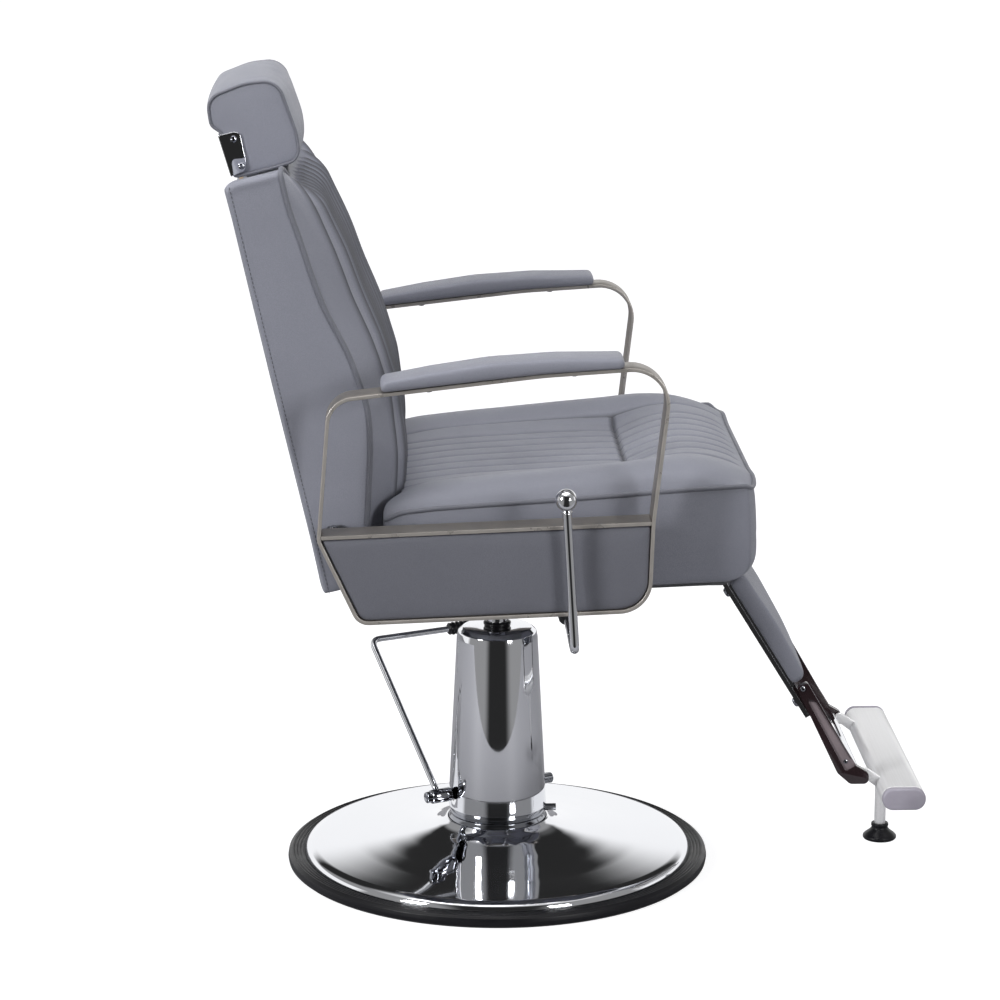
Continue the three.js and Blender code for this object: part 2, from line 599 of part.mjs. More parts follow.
makeBase(chair);
makePedal(chair);
makeRam(chair);
makeSeatFrame(tilted, chair);
makeArms(tilted);
makeRelease(chair, chair);
makeBack(leaning, chair);
makeHeadrest(leaning, chair);
makeLink(chair);
makeLegRest(hanging, chair);
makeFootplate(chair);

export default chair;
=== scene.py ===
# %% [markdown]
# # A hydraulic barber chair
#
# The chair's frame, joints and sizes come from a CAD model. This lesson puts the looks around it: padded
# leather, chrome, satin nickel and rubber. Each step says what the piece is on the real chair, how it
# could be made, and why it is made this way. All lengths are in metres, +X is forward and +Z is up.

# %% Load the frame
import json
import math
import bmesh
import bpy
import numpy as np
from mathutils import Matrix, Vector


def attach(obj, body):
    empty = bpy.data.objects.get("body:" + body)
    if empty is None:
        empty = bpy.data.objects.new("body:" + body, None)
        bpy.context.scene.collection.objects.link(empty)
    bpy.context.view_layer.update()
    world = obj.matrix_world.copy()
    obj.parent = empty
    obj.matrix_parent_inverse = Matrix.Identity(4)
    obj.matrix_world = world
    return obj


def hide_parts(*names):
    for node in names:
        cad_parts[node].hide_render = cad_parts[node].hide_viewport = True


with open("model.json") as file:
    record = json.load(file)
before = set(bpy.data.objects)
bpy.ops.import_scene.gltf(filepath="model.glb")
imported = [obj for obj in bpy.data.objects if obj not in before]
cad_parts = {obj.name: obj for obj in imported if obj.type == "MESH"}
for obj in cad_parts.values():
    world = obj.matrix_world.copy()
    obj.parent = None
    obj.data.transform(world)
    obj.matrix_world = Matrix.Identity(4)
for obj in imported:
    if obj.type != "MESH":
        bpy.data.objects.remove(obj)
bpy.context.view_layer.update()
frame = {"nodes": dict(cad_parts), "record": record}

# %% [markdown]
# ## The camera
#
# The chair is seen from its right-hand side, a little from above, through a long lens, so that its lines
# stay nearly parallel. It could track an empty at the chair's middle; a yaw and a pitch say the same with
# two numbers and no constraint.

# %% The camera
CAMERA_PLACE = (-0.1716, -4.7166, 1.6527)
CAMERA_YAW = 0.0372
CAMERA_PITCH = 0.2341
CAMERA_LENS = 124.4

camera_data = bpy.data.cameras.new("camera")
camera_data.lens = CAMERA_LENS
camera_data.sensor_width = 36
camera = bpy.data.objects.new("camera", camera_data)
camera.location = CAMERA_PLACE
camera.rotation_euler = (math.pi / 2 - CAMERA_PITCH, 0, -CAMERA_YAW)
bpy.context.scene.collection.objects.link(camera)
bpy.context.scene.camera = camera

# %% [markdown]
# ## Finishes
#
# A material is a small graph of nodes. Every graph here starts from Object coordinates, which stay put on
# the piece when it moves. One helper makes the nodes and links them, so that each finish reads as a
# short list: its colour, how rough it is, and the fine relief that catches the light.

# %% A helper for node graphs
class Graph:
    def __init__(self, name):
        self.material = bpy.data.materials.new(name)
        self.material.use_nodes = True
        self.nodes = self.material.node_tree.nodes
        self.links = self.material.node_tree.links
        self.shader = self.nodes["Principled BSDF"]
        self.place = self.add("ShaderNodeTexCoord").outputs["Object"]

    def add(self, kind, **settings):
        node = self.nodes.new(kind)
        for key, value in settings.items():
            if hasattr(node, key):
                setattr(node, key, value)
            else:
                node.inputs[key.replace("_", " ")].default_value = value
        return node

    def link(self, source, node, socket):
        self.links.new(source, node.inputs[socket])

    def stretched(self, scale):
        mapping = self.add("ShaderNodeMapping")
        mapping.inputs["Scale"].default_value = scale
        self.link(self.place, mapping, "Vector")
        return mapping.outputs["Vector"]

    def noise(self, scale, detail=3.0, place=None):
        node = self.add("ShaderNodeTexNoise", Scale=scale, Detail=detail)
        self.link(place or self.place, node, "Vector")
        return node.outputs["Fac"]

    def ramp(self, source, low, high, start=0.3, end=0.7):
        node = self.add("ShaderNodeMapRange", From_Min=start, From_Max=end, To_Min=low, To_Max=high)
        self.link(source, node, "Value")
        return node.outputs["Result"]

    def mix(self, factor, first, second):
        node = self.add("ShaderNodeMix", data_type="RGBA")
        for socket, value in (("A", first), ("B", second)):
            index = 6 if socket == "A" else 7
            if isinstance(value, tuple):
                node.inputs[index].default_value = (*value, 1)
            else:
                self.links.new(value, node.inputs[index])
        self.links.new(factor, node.inputs[0])
        return node.outputs[2]

    def relief(self, height, distance, strength=1.0, after=None):
        node = self.add("ShaderNodeBump", Distance=distance, Strength=strength)
        self.link(height, node, "Height")
        if after is not None:
            self.link(after, node, "Normal")
        return node.outputs["Normal"]

    def finish(self, colour=None, roughness=None, normal=None, **fixed):
        for source, socket in ((colour, "Base Color"), (roughness, "Roughness"), (normal, "Normal")):
            if source is not None:
                self.link(source, self.shader, socket)
        for key, value in fixed.items():
            self.shader.inputs[key.replace("_", " ")].default_value = value
        return self.material


# %% [markdown]
# Upholstery leather is never one flat colour. Its grain is a net of tiny pebbles and its dye varies a
# little from place to place. On top of that, each sewn seam's valley gets painted shade: the colour is
# darkened by a number stored on the cushion's own points, named valley, which stays zero elsewhere.

# %% Leather
def leather(name, colour, rough=0.46, grain=900.0):
    graph = Graph(name)
    dark = tuple(value * 0.9 for value in colour)
    light = tuple(min(1, value * 1.08) for value in colour)
    dyed = graph.mix(graph.ramp(graph.noise(9.0, 4.0), 0, 1), dark, light)
    pores = graph.add("ShaderNodeTexVoronoi", feature="DISTANCE_TO_EDGE", Scale=grain)
    graph.link(graph.place, pores, "Vector")
    creases = graph.ramp(pores.outputs["Distance"], 0, 1, 0.0, 0.35)
    tinted = graph.mix(creases, tuple(value * 0.80 for value in colour), dyed)
    # painted shade: where the stored valley number rises towards 1, the colour is darkened towards 26% of the
    # leather's tone
    valley = graph.add("ShaderNodeAttribute", attribute_name="valley")
    shaded = graph.mix(valley.outputs["Fac"], tinted, tuple(value * 0.26 for value in colour))
    pebbles = graph.relief(creases, 0.0003, 0.6)
    wrinkles = graph.relief(graph.noise(60.0, 5.0), 0.0012, 0.22, pebbles)
    roughness = graph.ramp(graph.noise(34.0, 3.0), rough - 0.05, rough + 0.06)
    return graph.finish(shaded, roughness, wrinkles, Sheen_Weight=0.12, Sheen_Roughness=0.4,
                        Specular_IOR_Level=0.45)


GREY = (0.262, 0.270, 0.322)
seat_leather = leather("grey_leather", GREY)
panel_leather = leather("side_panel_leather", tuple(value * 0.60 for value in GREY), 0.48)
piping_leather = leather("piping_leather", tuple(value * 0.66 for value in GREY), 0.42)

# %% [markdown]
# Thread is twisted, so it gets a fine slanted wave. It is a shade darker than the leather it sews.

# %% Thread
def thread():
    graph = Graph("seam_thread")
    twist = graph.add("ShaderNodeTexWave", Scale=700.0, bands_direction="DIAGONAL")
    graph.link(graph.place, twist, "Vector")
    tone = graph.mix(twist.outputs["Fac"], (0.06, 0.062, 0.075), (0.13, 0.133, 0.155))
    return graph.finish(tone, None, graph.relief(twist.outputs["Fac"], 0.0002), Roughness=0.7)


seam_thread = thread()

# %% [markdown]
# Chrome is a mirror with hardly any texture of its own: what shows is the room. Two things keep it from
# looking computed: a very slight waviness of the pressed sheet, and a thin film of handling that changes
# the roughness from place to place. Brushed metals get the same recipe with stretched noise instead.

# %% Metals
def polished(name, colour, rough, wave=0.0006):
    graph = Graph(name)
    film = graph.ramp(graph.noise(14.0, 5.0), rough * 0.6, rough * 1.7)
    ripple = graph.relief(graph.noise(7.0, 1.0), wave, 0.12)
    tone = graph.mix(graph.noise(5.0, 2.0), colour, tuple(value * 0.95 for value in colour))
    return graph.finish(tone, film, ripple, Metallic=1.0)


def brushed(name, colour, rough, scale=(30, 900, 900), metallic=1.0):
    graph = Graph(name)
    strokes = graph.noise(1.0, 4.0, graph.stretched(scale))
    tone = graph.mix(graph.ramp(strokes, 0, 1), tuple(value * 0.93 for value in colour), colour)
    scatter = graph.ramp(strokes, rough - 0.07, rough + 0.09)
    return graph.finish(tone, scatter, graph.relief(strokes, 0.0001, 0.35), Metallic=metallic)


chrome = polished("chrome", (0.80, 0.81, 0.84), 0.04)
dark_chrome = polished("dark_chrome", (0.30, 0.31, 0.34), 0.09)
# painted highlight: a lighter, less metallic copy of the satin nickel, used on the arm bands' edge faces
painted_highlight_nickel = brushed("painted_highlight_nickel", (0.50, 0.47, 0.44), 0.32, (60, 60, 60), 0.5)
nickel = brushed("satin_nickel", (0.34, 0.315, 0.29), 0.40, (60, 60, 60), 0.85)
steel = brushed("zinc_steel", (0.22, 0.225, 0.24), 0.42)
aluminium = brushed("anodised_aluminium", (0.92, 0.92, 0.93), 0.36, (420, 8, 420), 0.45)

# %% [markdown]
# Rubber and plastic are matt or glossy, with a moulded skin: a low, soft orange peel. Wood only shows on
# the boards under the cushions, as bands of grain.

# %% Rubber, plastic and wood
def moulded(name, colour, rough, peel=500.0, depth=0.00012, **fixed):
    graph = Graph(name)
    tone = graph.mix(graph.ramp(graph.noise(18.0, 4.0), 0, 1), tuple(v * 0.85 for v in colour),
                     tuple(min(1, v * 1.15) for v in colour))
    scatter = graph.ramp(graph.noise(40.0, 3.0), rough - 0.04, rough + 0.05)
    return graph.finish(tone, scatter, graph.relief(graph.noise(peel, 2.0), depth, 0.5), **fixed)


def plywood():
    graph = Graph("plywood")
    rings = graph.add("ShaderNodeTexWave", Scale=9.0, Distortion=6.0, Detail=3.0)
    graph.link(graph.stretched((1, 8, 8)), rings, "Vector")
    tone = graph.mix(rings.outputs["Fac"], (0.50, 0.34, 0.19), (0.66, 0.50, 0.32))
    return graph.finish(tone, None, graph.relief(rings.outputs["Fac"], 0.0002), Roughness=0.65)


rubber = moulded("black_rubber", (0.006, 0.006, 0.008), 0.34, Specular_IOR_Level=0.3)
cap_plastic = moulded("cap_plastic", (0.36, 0.34, 0.40), 0.42)
inlay_plastic = moulded("inlay_plastic", (0.25, 0.205, 0.22), 0.34)
gloss_black = moulded("gloss_black", (0.024, 0.014, 0.016), 0.16, 90.0, 0.0001, Coat_Weight=0.6,
                      Coat_Roughness=0.06)
board_wood = plywood()
print("finishes", len(bpy.data.materials))

# %% [markdown]
# ## Placing pieces
#
# A piece is a mesh whose points are already where they belong, so its object stays at the origin. Each
# piece is told which body carries it and which plain CAD solids it stands for.

# %% Make and place a piece
def piece(name, points, faces, material, smooth=True):
    mesh = bpy.data.meshes.new(name)
    mesh.from_pydata([tuple(point) for point in points], [], [tuple(face) for face in faces])
    mesh.materials.append(material)
    mesh.polygons.foreach_set("use_smooth", [smooth] * len(mesh.polygons))
    made = bpy.data.objects.new(name, mesh)
    bpy.context.scene.collection.objects.link(made)
    return made


def outwards(made):
    shape = bmesh.new()
    shape.from_mesh(made.data)
    bmesh.ops.remove_doubles(shape, verts=shape.verts, dist=1e-6)
    bmesh.ops.recalc_face_normals(shape, faces=shape.faces)
    shape.to_mesh(made.data)
    shape.free()
    return made


def carry(made, body, slot, *nodes):
    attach(made, body)
    if nodes:
        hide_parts(*nodes)
    return made


def freeze(made):
    evaluated = made.evaluated_get(bpy.context.evaluated_depsgraph_get())
    mesh = bpy.data.meshes.new_from_object(evaluated)
    made.modifiers.clear()
    made.data = mesh
    return made


def refine(made, width=0.0012, segments=3, angle=35):
    edge = made.modifiers.new("edge", "BEVEL")
    edge.width = width
    edge.segments = segments
    edge.limit_method = "ANGLE"
    edge.angle_limit = math.radians(angle)
    edge.harden_normals = False
    return freeze(made)


# %% [markdown]
# ## Outlines
#
# Most plates, pads and bands of the chair are an outline in the x-z plane, given some width across the
# chair. An outline is a short list of corners, each with the radius of its arc. The same list made the
# CAD solid, so both agree; only the arcs are finer here.

# %% Outlines with rounded corners
def rounded(corners, steps=8):
    points = []
    count = len(corners)
    for index, (x, z, radius) in enumerate(corners):
        corner = np.array((x, z), float)
        before = np.array(corners[index - 1][:2], float) - corner
        after = np.array(corners[(index + 1) % count][:2], float) - corner
        room = 0.48 * min(np.linalg.norm(before), np.linalg.norm(after))
        before /= np.linalg.norm(before)
        after /= np.linalg.norm(after)
        half = math.acos(np.clip(before @ after, -1, 1)) / 2
        if half > math.radians(89.5):
            points.append(corner)
            continue
        reach = min(radius / math.tan(half), room)
        middle = before + after
        centre = corner + middle / np.linalg.norm(middle) * reach / math.cos(half)
        start = before * reach + corner - centre
        end = after * reach + corner - centre
        turn = math.atan2(start[0] * end[1] - start[1] * end[0], start @ end)
        for step in range(steps + 1):
            angle = turn * step / steps
            cos, sin = math.cos(angle), math.sin(angle)
            points.append(centre + (start[0] * cos - start[1] * sin, start[0] * sin + start[1] * cos))
    return np.array(points) / 1000


def even(points, spacing, closed=True):
    loop = np.vstack([points, points[:1]]) if closed else np.asarray(points)
    lengths = np.concatenate([[0], np.cumsum(np.linalg.norm(np.diff(loop, axis=0), axis=1))])
    count = max(4, round(lengths[-1] / spacing))
    marks = np.linspace(0, lengths[-1], count + 1)[: count if closed else count + 1]
    return np.stack([np.interp(marks, lengths, loop[:, k]) for k in range(loop.shape[1])], 1)


def inset(points, distance):
    along = np.roll(points, -1, 0) - np.roll(points, 1, 0)
    along /= np.linalg.norm(along, axis=1)[:, None]
    return points + np.stack([-along[:, 1], along[:, 0]], 1) * distance


# %% [markdown]
# The seat, the back and the leg rest each lean at an angle of their own. Turning a point of a leaning
# frame into the chair's frame is one small function per frame.

# %% Leaning frames
SEAT_Z = 0.463
SEAT_TILT = math.radians(2.1)
BACK_FOOT = (-0.244, 0.459)
BACK_LEAN = math.radians(12.74)
LEG_PIVOT = (0.300, 0.457)
LEG_SLOPE = math.radians(58.3)


def leaning(points, origin, angle):
    x, y, z = np.asarray(points, float).T
    cos, sin = math.cos(angle), math.sin(angle)
    return np.stack([origin[0] + x * cos - z * sin, y, origin[1] + x * sin + z * cos], 1)


def seat_frame(points):
    return leaning(points, (0, SEAT_Z), SEAT_TILT)


def back_frame(points):
    return leaning(points, BACK_FOOT, BACK_LEAN)


def leg_frame(points):
    return leaning(points, LEG_PIVOT, -LEG_SLOPE)


def as_is(points):
    return np.asarray(points, float)


# %% [markdown]
# ## Turned and bent metal
#
# The dish, the column and the ram are surfaces of revolution. The CAD solids have flat facets, which a
# mirror finish would show at once, so each is turned again here from the same profile with many more
# steps and with small rounded arrises.

# %% Turned pieces
def turned(name, profile, material, steps=144, centre=(0, 0)):
    rings = np.array(profile) / 1000
    angles = np.linspace(0, 2 * math.pi, steps, endpoint=False)
    points = [(centre[0] + r * math.cos(a), centre[1] + r * math.sin(a), z) for r, z in rings for a in angles]
    count = len(rings)
    faces = []
    for ring in range(count):
        after = (ring + 1) % count
        for step in range(steps):
            side = (step + 1) % steps
            here, there = ring * steps, after * steps
            faces.append((here + step, here + side, there + side, there + step))
    return outwards(piece(name, points, faces, material))


def eased(profile, radius=1.5, steps=4):
    corners = [(r, z, radius) for r, z in profile]
    return rounded(corners, steps) * 1000


DISH_PROFILE = [(276, 10), (276, 19), (272.5, 25), (264, 28), (240, 30), (200, 33.5), (160, 38), (120, 44),
                (95, 50), (80, 57), (72.5, 64.5), (70, 63), (78, 53), (94, 46), (119, 40), (160, 34),
                (200, 29.5), (240, 26), (262, 24), (270, 21), (273, 10)]
COVER_PROFILE = [(70, 81), (57.5, 329), (55.8, 338), (49, 343.6), (18, 345), (18, 342), (48, 340.2),
                 (53, 335), (54.5, 328), (67, 81)]


def ring_profile(ridges=4):
    outline = [(276.3, 0), (294, 0), (299, 4), (300, 9), (299, 14.6), (296.5, 16.2)]
    for ridge in range(ridges):
        start = 295 - ridge * 4.6
        outline += [(start, 17.4 - ridge * 0.3), (start - 1.3, 18.2 - ridge * 0.3),
                    (start - 2.6, 18.0 - ridge * 0.3), (start - 3.6, 16.3 - ridge * 0.3)]
    return outline + [(276.3, 15.6)]


carry(turned("dish", eased(DISH_PROFILE, 600, 8), chrome, 192), "base", "chrome", "base_dish")
carry(turned("floor_ring", eased(ring_profile(), 1.0, 3), rubber, 192), "base", "rubber", "edge_ring")
carry(turned("neck", eased([(46, 54), (69.5, 54), (69.5, 64), (66, 69), (67.5, 71.5), (67.5, 76), (66, 80.7),
                            (46, 80.7)]), dark_chrome), "base", "chrome", "neck_collar")
carry(turned("ram_rod", eased([(0.5, 125), (13.5, 125), (13.5, 443), (0.5, 443)], 1), chrome, 64),
      "lift", "chrome", "ram")
carry(turned("ram_seal", eased([(13.9, 330.3), (17.6, 330.3), (17.6, 347.5), (19.5, 348), (19.5, 350.5),
                                (16, 352), (13.9, 352)], 0.6), rubber, 64), "base", "rubber", "ram_guide")

# %% [markdown]
# The column's cover has two round holes where the pump's cross shaft comes through. They are cut with a
# boolean modifier after turning, which keeps the wall thin and true.

# %% The column cover
SHAFT_TURN = 0.45
SHAFT_Z = 0.106
ALONG_SHAFT = np.array((math.cos(SHAFT_TURN), math.sin(SHAFT_TURN), 0))
ACROSS_SHAFT = np.array((-math.sin(SHAFT_TURN), math.cos(SHAFT_TURN), 0))


def sweep(path, radius, sides=20, ends=True):
    path = np.asarray(path, float)
    along = np.gradient(path, axis=0)
    along /= np.linalg.norm(along, axis=1)[:, None]
    seed = np.array((0, 0, 1.0)) if abs(along[0][2]) < 0.9 else np.array((1.0, 0, 0))
    normal = np.cross(along[0], seed)
    radii = np.full(len(path), radius) if np.isscalar(radius) else np.asarray(radius)
    points = []
    for place, direction, size in zip(path, along, radii):
        normal = normal - direction * (normal @ direction)
        normal /= np.linalg.norm(normal)
        other = np.cross(direction, normal)
        for side in range(sides):
            angle = 2 * math.pi * side / sides
            points.append(place + size * (normal * math.cos(angle) + other * math.sin(angle)))
    faces = []
    for ring in range(len(path) - 1):
        for side in range(sides):
            after = (side + 1) % sides
            faces.append((ring * sides + side, ring * sides + after, (ring + 1) * sides + after,
                          (ring + 1) * sides + side))
    if ends:
        faces.append(tuple(range(sides)))
        faces.append(tuple((len(path) - 1) * sides + side for side in reversed(range(sides))))
    return points, faces


def bent_path(corners, radius, spacing=0.004):
    corners = [np.array(corner, float) for corner in corners]
    points = [corners[0]]
    for before, corner, after in zip(corners, corners[1:], corners[2:]):
        back = (before - corner) / np.linalg.norm(before - corner)
        ahead = (after - corner) / np.linalg.norm(after - corner)
        for step in np.linspace(0, 1, 9):
            points.append(corner + radius * (back * (1 - step) ** 2 + ahead * step ** 2))
    points.append(corners[-1])
    return even(np.array(points), spacing, closed=False)


def rod(name, path, radius, material, sides=24):
    path = np.asarray(path, float)
    angles = np.linspace(0, math.pi / 2, 5)[:-1]
    ahead = (path[1] - path[0]) / np.linalg.norm(path[1] - path[0])
    back = (path[-2] - path[-1]) / np.linalg.norm(path[-2] - path[-1])
    start = [path[0] + ahead * radius * 0.35 * math.sin(a) for a in angles]
    end = [path[-1] + back * radius * 0.35 * math.sin(a) for a in reversed(angles)]
    clear = radius * 0.5
    inner = [point for point in path[1:-1]
             if np.linalg.norm(point - path[0]) > clear and np.linalg.norm(point - path[-1]) > clear]
    shrink = [radius * (0.72 + 0.28 * math.sin(a)) for a in angles]
    route = np.array(start + inner + end)
    radii = np.array(shrink + [radius] * len(inner) + shrink[::-1])
    return outwards(piece(name, *sweep(route, radii, sides), material))


def cover():
    made = turned("column", eased(COVER_PROFILE, 4, 5), chrome, 160)
    ends = [ALONG_SHAFT * reach + (0, 0, SHAFT_Z) for reach in (-0.12, 0.12)]
    drill = piece("drill", *sweep(ends, 0.0092, 40), chrome)
    outwards(drill)
    cut = made.modifiers.new("holes", "BOOLEAN")
    cut.object = drill
    cut.operation = "DIFFERENCE"
    cut.solver = "EXACT"
    freeze(made)
    bpy.data.objects.remove(drill)
    return made


carry(cover(), "base", "chrome", "column_cover")

# %% [markdown]
# ## The pump pedal
#
# The pedal is one bent chromed rod, pinned into a socket on a cross shaft that turns in the pump. A rod
# is a circle swept along a route with rounded bends, its ends eased. The pedal's grip is a turned rubber
# sleeve with ribs for the shoe.

# %% The pump pedal
LEVER_RISE = 0.682
SOCKET = ALONG_SHAFT * -0.094 + (0, 0, SHAFT_Z)
RISE = ACROSS_SHAFT * math.cos(LEVER_RISE) + (0, 0, math.sin(LEVER_RISE))
ELBOW = SOCKET + RISE * 0.279
PEDAL_END = ELBOW + ALONG_SHAFT * 0.22


def shaft():
    stations = [(-0.114, 7.2), (-0.1128, 8), (-0.1065, 8), (-0.106, 9.4), (-0.105, 10), (-0.077, 10),
                (-0.076, 9.4), (-0.0755, 8), (0.0865, 8), (0.088, 7)]
    path = np.array([ALONG_SHAFT * reach + (0, 0, SHAFT_Z) for reach, _ in stations])
    return outwards(piece("cross_shaft", *sweep(path, [r / 1000 for _, r in stations], 40), dark_chrome))


def grip():
    reach = np.linspace(0.0, 0.095, 77)
    ribs = 0.0090 + 0.0007 * np.sin(reach / 0.095 * math.pi * 28)
    ends = np.minimum(1, np.minimum(reach, 0.095 - reach) / 0.003)
    radii = 0.0049 + (ribs - 0.0049) * np.sqrt(ends)
    path = PEDAL_END - ALONG_SHAFT * 0.094 + np.outer(reach, ALONG_SHAFT)
    return outwards(piece("pedal_rubber", *sweep(path, radii, 32), rubber))


carry(rod("pedal_rod", bent_path([SOCKET + RISE * 0.0103, ELBOW, PEDAL_END], 0.014), 0.0045, chrome),
      "pedal", "chrome", "pedal_lever")
carry(shaft(), "pedal", "chrome", "pump_shaft")
carry(grip(), "pedal", "rubber", "pedal_grip")

# %% [markdown]
# ## The recline lever
#
# A chromed rod stands outside the right-hand arm with a ball on top. At its foot it bends inwards and runs
# under the seat, where it turns in a bearing block. A ball is a sphere, but the real one has a turned neck
# and a small collar, so it is turned as well and then laid along the rod.

# %% The recline lever
BALL = np.array((0.0768, -0.360, 0.6123))
LEVER_FOOT = np.array((0.089, -0.360, 0.407))
LEVER_END = np.array((0.089, -0.112, 0.407))


def ball():
    way = (BALL - LEVER_FOOT) / np.linalg.norm(BALL - LEVER_FOOT)
    neck = [(-0.0175, 6.2), (-0.0172, 7.4), (-0.0150, 7.6), (-0.0146, 6.8)]
    sphere = [(-0.0145 * math.cos(a), 14.5 * math.sin(a)) for a in np.linspace(0.5, math.pi - 0.02, 28)]
    stations = neck + sphere
    path = np.array([BALL + way * reach for reach, _ in stations])
    return outwards(piece("ball_grip", *sweep(path, [r / 1000 for _, r in stations], 48), chrome))


LEVER_TOP = BALL + (LEVER_FOOT - BALL) * 0.015 / np.linalg.norm(LEVER_FOOT - BALL)
carry(rod("recline_lever", bent_path([LEVER_TOP, LEVER_FOOT, LEVER_END], 0.016), 0.006, chrome, 32),
      "release", "chrome", "release_lever")
carry(ball(), "release", "chrome", "ball_knob")

# %% [markdown]
# ## The arm bands
#
# Each arm is a steel strip bent into a closed loop, all in satin nickel. An outline with the strip's
# thickness on its inside gives the loop; the two edges get a lighter, less metallic copy of the nickel as a
# painted highlight, and a small bevel catches the light along all four arrises.

# %% The arm bands
ARM_Y = 0.317
BAND_HALF = 0.0225
BAND_THICK = 0.005
STRIP_TOP = 0.1066
BAND_CORNERS = [(190, -16, 44), (199, 106, 300), (231, 314, 50), (60, 309.5, 700), (-222, 288, 38),
                (-244.5, 100, 14), (-196, -16, 22)]
BAND_OUTER = even(rounded(BAND_CORNERS, 16), 0.005)


def band(side):
    inner = inset(BAND_OUTER, BAND_THICK)
    count = len(inner)
    points = []
    for y in (side * (ARM_Y - BAND_HALF), side * (ARM_Y + BAND_HALF)):
        points += [(x, y, z) for x, z in BAND_OUTER] + [(x, y, z) for x, z in inner]
    faces = []
    for k in range(count):
        n = (k + 1) % count
        faces += [(k, n, n + 2 * count, k + 2 * count), (k + count, n + count, n + 3 * count, k + 3 * count),
                  (k, n, n + count, k + count),
                  (k + 2 * count, n + 2 * count, n + 3 * count, k + 3 * count)]
    made = outwards(piece("band_" + SIDES[side], seat_frame(points), faces, nickel))
    # painted highlight: the faces whose normal runs across the chair, the band's two edges, get the lighter
    # copy of the nickel
    made.data.materials.append(painted_highlight_nickel)
    for face in made.data.polygons:
        face.material_index = 1 if abs(face.normal.y) > 0.9 else 0
    return refine(made, 0.0007, 2, 40)


def strip(side):
    low, high = STRIP_TOP - BAND_THICK, STRIP_TOP
    ends = [crossing(inset(BAND_OUTER, BAND_THICK + 0.0003), z) for z in (low, high)]
    corners = [(ends[0][0], low), (ends[0][1], low), (ends[1][1], high), (ends[1][0], high)]
    near, far = side * (ARM_Y - BAND_HALF), side * (ARM_Y + BAND_HALF)
    points = [(x, y, z) for y in (near, far) for x, z in corners]
    faces = [(0, 1, 2, 3), (4, 5, 6, 7), (0, 1, 5, 4), (1, 2, 6, 5), (2, 3, 7, 6), (3, 0, 4, 7)]
    made = outwards(piece("strip_" + SIDES[side], seat_frame(points), faces, nickel, False))
    # painted highlight: the strip's two edge faces get the lighter copy of the nickel
    made.data.materials.append(painted_highlight_nickel)
    for face in made.data.polygons:
        face.material_index = 1 if abs(face.normal.y) > 0.9 else 0
    return refine(made, 0.0007, 2, 40)


def crossing(loop, z):
    hits = []
    for first, second in zip(loop, np.roll(loop, -1, 0)):
        if (first[1] - z) * (second[1] - z) <= 0 and first[1] != second[1]:
            hits.append(first[0] + (second[0] - first[0]) * (z - first[1]) / (second[1] - first[1]))
    return min(hits), max(hits)


SIDES = {-1: "right", 1: "left"}
for side, word in SIDES.items():
    carry(band(side), "seat", "nickel_band", "arm_band_" + word)
    carry(strip(side), "seat", "nickel_band", "arm_strip_" + word)

# %% [markdown]
# ## How soft pieces are made
#
# A cushion is a closed shell of leather, held down along its seams and pushed out by its foam. The shell's
# shape is drawn first, as a grid of even squares, because a seam can then follow a row of points. A short
# cloth simulation with air pressure inside fills it, while the seams stay pinned. After that the shell is
# subdivided once, the narrow valley of each seam is pressed in, and painted shade for that valley is stored.

# %% Fill a shell with a cloth simulation
def fill_out(made, pinned, pressure=4.0, limit=0.006, frames=20):
    scene = bpy.context.scene
    group = made.vertex_groups.new(name="seams")
    group.add([int(index) for index in pinned], 1.0, "REPLACE")
    start = np.empty(len(made.data.vertices) * 3)
    made.data.vertices.foreach_get("co", start)
    cloth = made.modifiers.new("padding", "CLOTH")
    cloth.settings.quality = 4
    cloth.settings.mass = 0.3
    cloth.settings.use_pressure = True
    cloth.settings.uniform_pressure_force = pressure
    cloth.settings.effector_weights.gravity = 0
    cloth.settings.vertex_group_mass = "seams"
    cloth.collision_settings.use_collision = False
    cloth.point_cache.frame_start = 1
    cloth.point_cache.frame_end = frames
    for number in range(1, frames + 1):
        scene.frame_set(number)
    evaluated = made.evaluated_get(bpy.context.evaluated_depsgraph_get())
    moved = np.empty_like(start)
    evaluated.data.vertices.foreach_get("co", moved)
    step = (moved - start).reshape(-1, 3)
    length = np.linalg.norm(step, axis=1)[:, None]
    step *= limit / np.maximum(length + limit, 1e-9)
    made.modifiers.remove(cloth)
    made.vertex_groups.clear()
    made.data.vertices.foreach_set("co", (start.reshape(-1, 3) + step).ravel())
    scene.frame_set(1)
    print(made.name, "filled out by up to", round(float(np.linalg.norm(step, axis=1).max()) * 1000, 1), "mm")
    return made


def store(made, name, values):
    attribute = made.data.attributes.get(name) or made.data.attributes.new(name, "FLOAT", "POINT")
    attribute.data.foreach_set("value", np.asarray(values, float))


def stored(made, name):
    values = np.empty(len(made.data.vertices))
    made.data.attributes[name].data.foreach_get("value", values)
    return values


def subdivide(made):
    finer = made.modifiers.new("finer", "SUBSURF")
    finer.levels = 1
    finer.render_levels = 1
    finer.boundary_smooth = "PRESERVE_CORNERS"
    return freeze(made)


def press(made, depth, shade):
    count = len(made.data.vertices)
    place, normal = np.empty(count * 3), np.empty(count * 3)
    made.data.vertices.foreach_get("co", place)
    made.data.vertices.foreach_get("normal", normal)
    place = place.reshape(-1, 3) - normal.reshape(-1, 3) * depth[:, None]
    made.data.vertices.foreach_set("co", place.ravel())
    # painted shade: the shade number is stored as valley, and the leather darkens its colour there
    store(made, "valley", np.clip(shade, 0, 1))
    made.data.update()
    return made


# %% [markdown]
# The seat and the back are both boxes with one rich face. Their shell is the surface of a lattice: every
# point has three grid coordinates, and one function says where that grid point lies on the cushion. The
# grid coordinates stay on the points as attributes, so later steps still know which row is a seam.

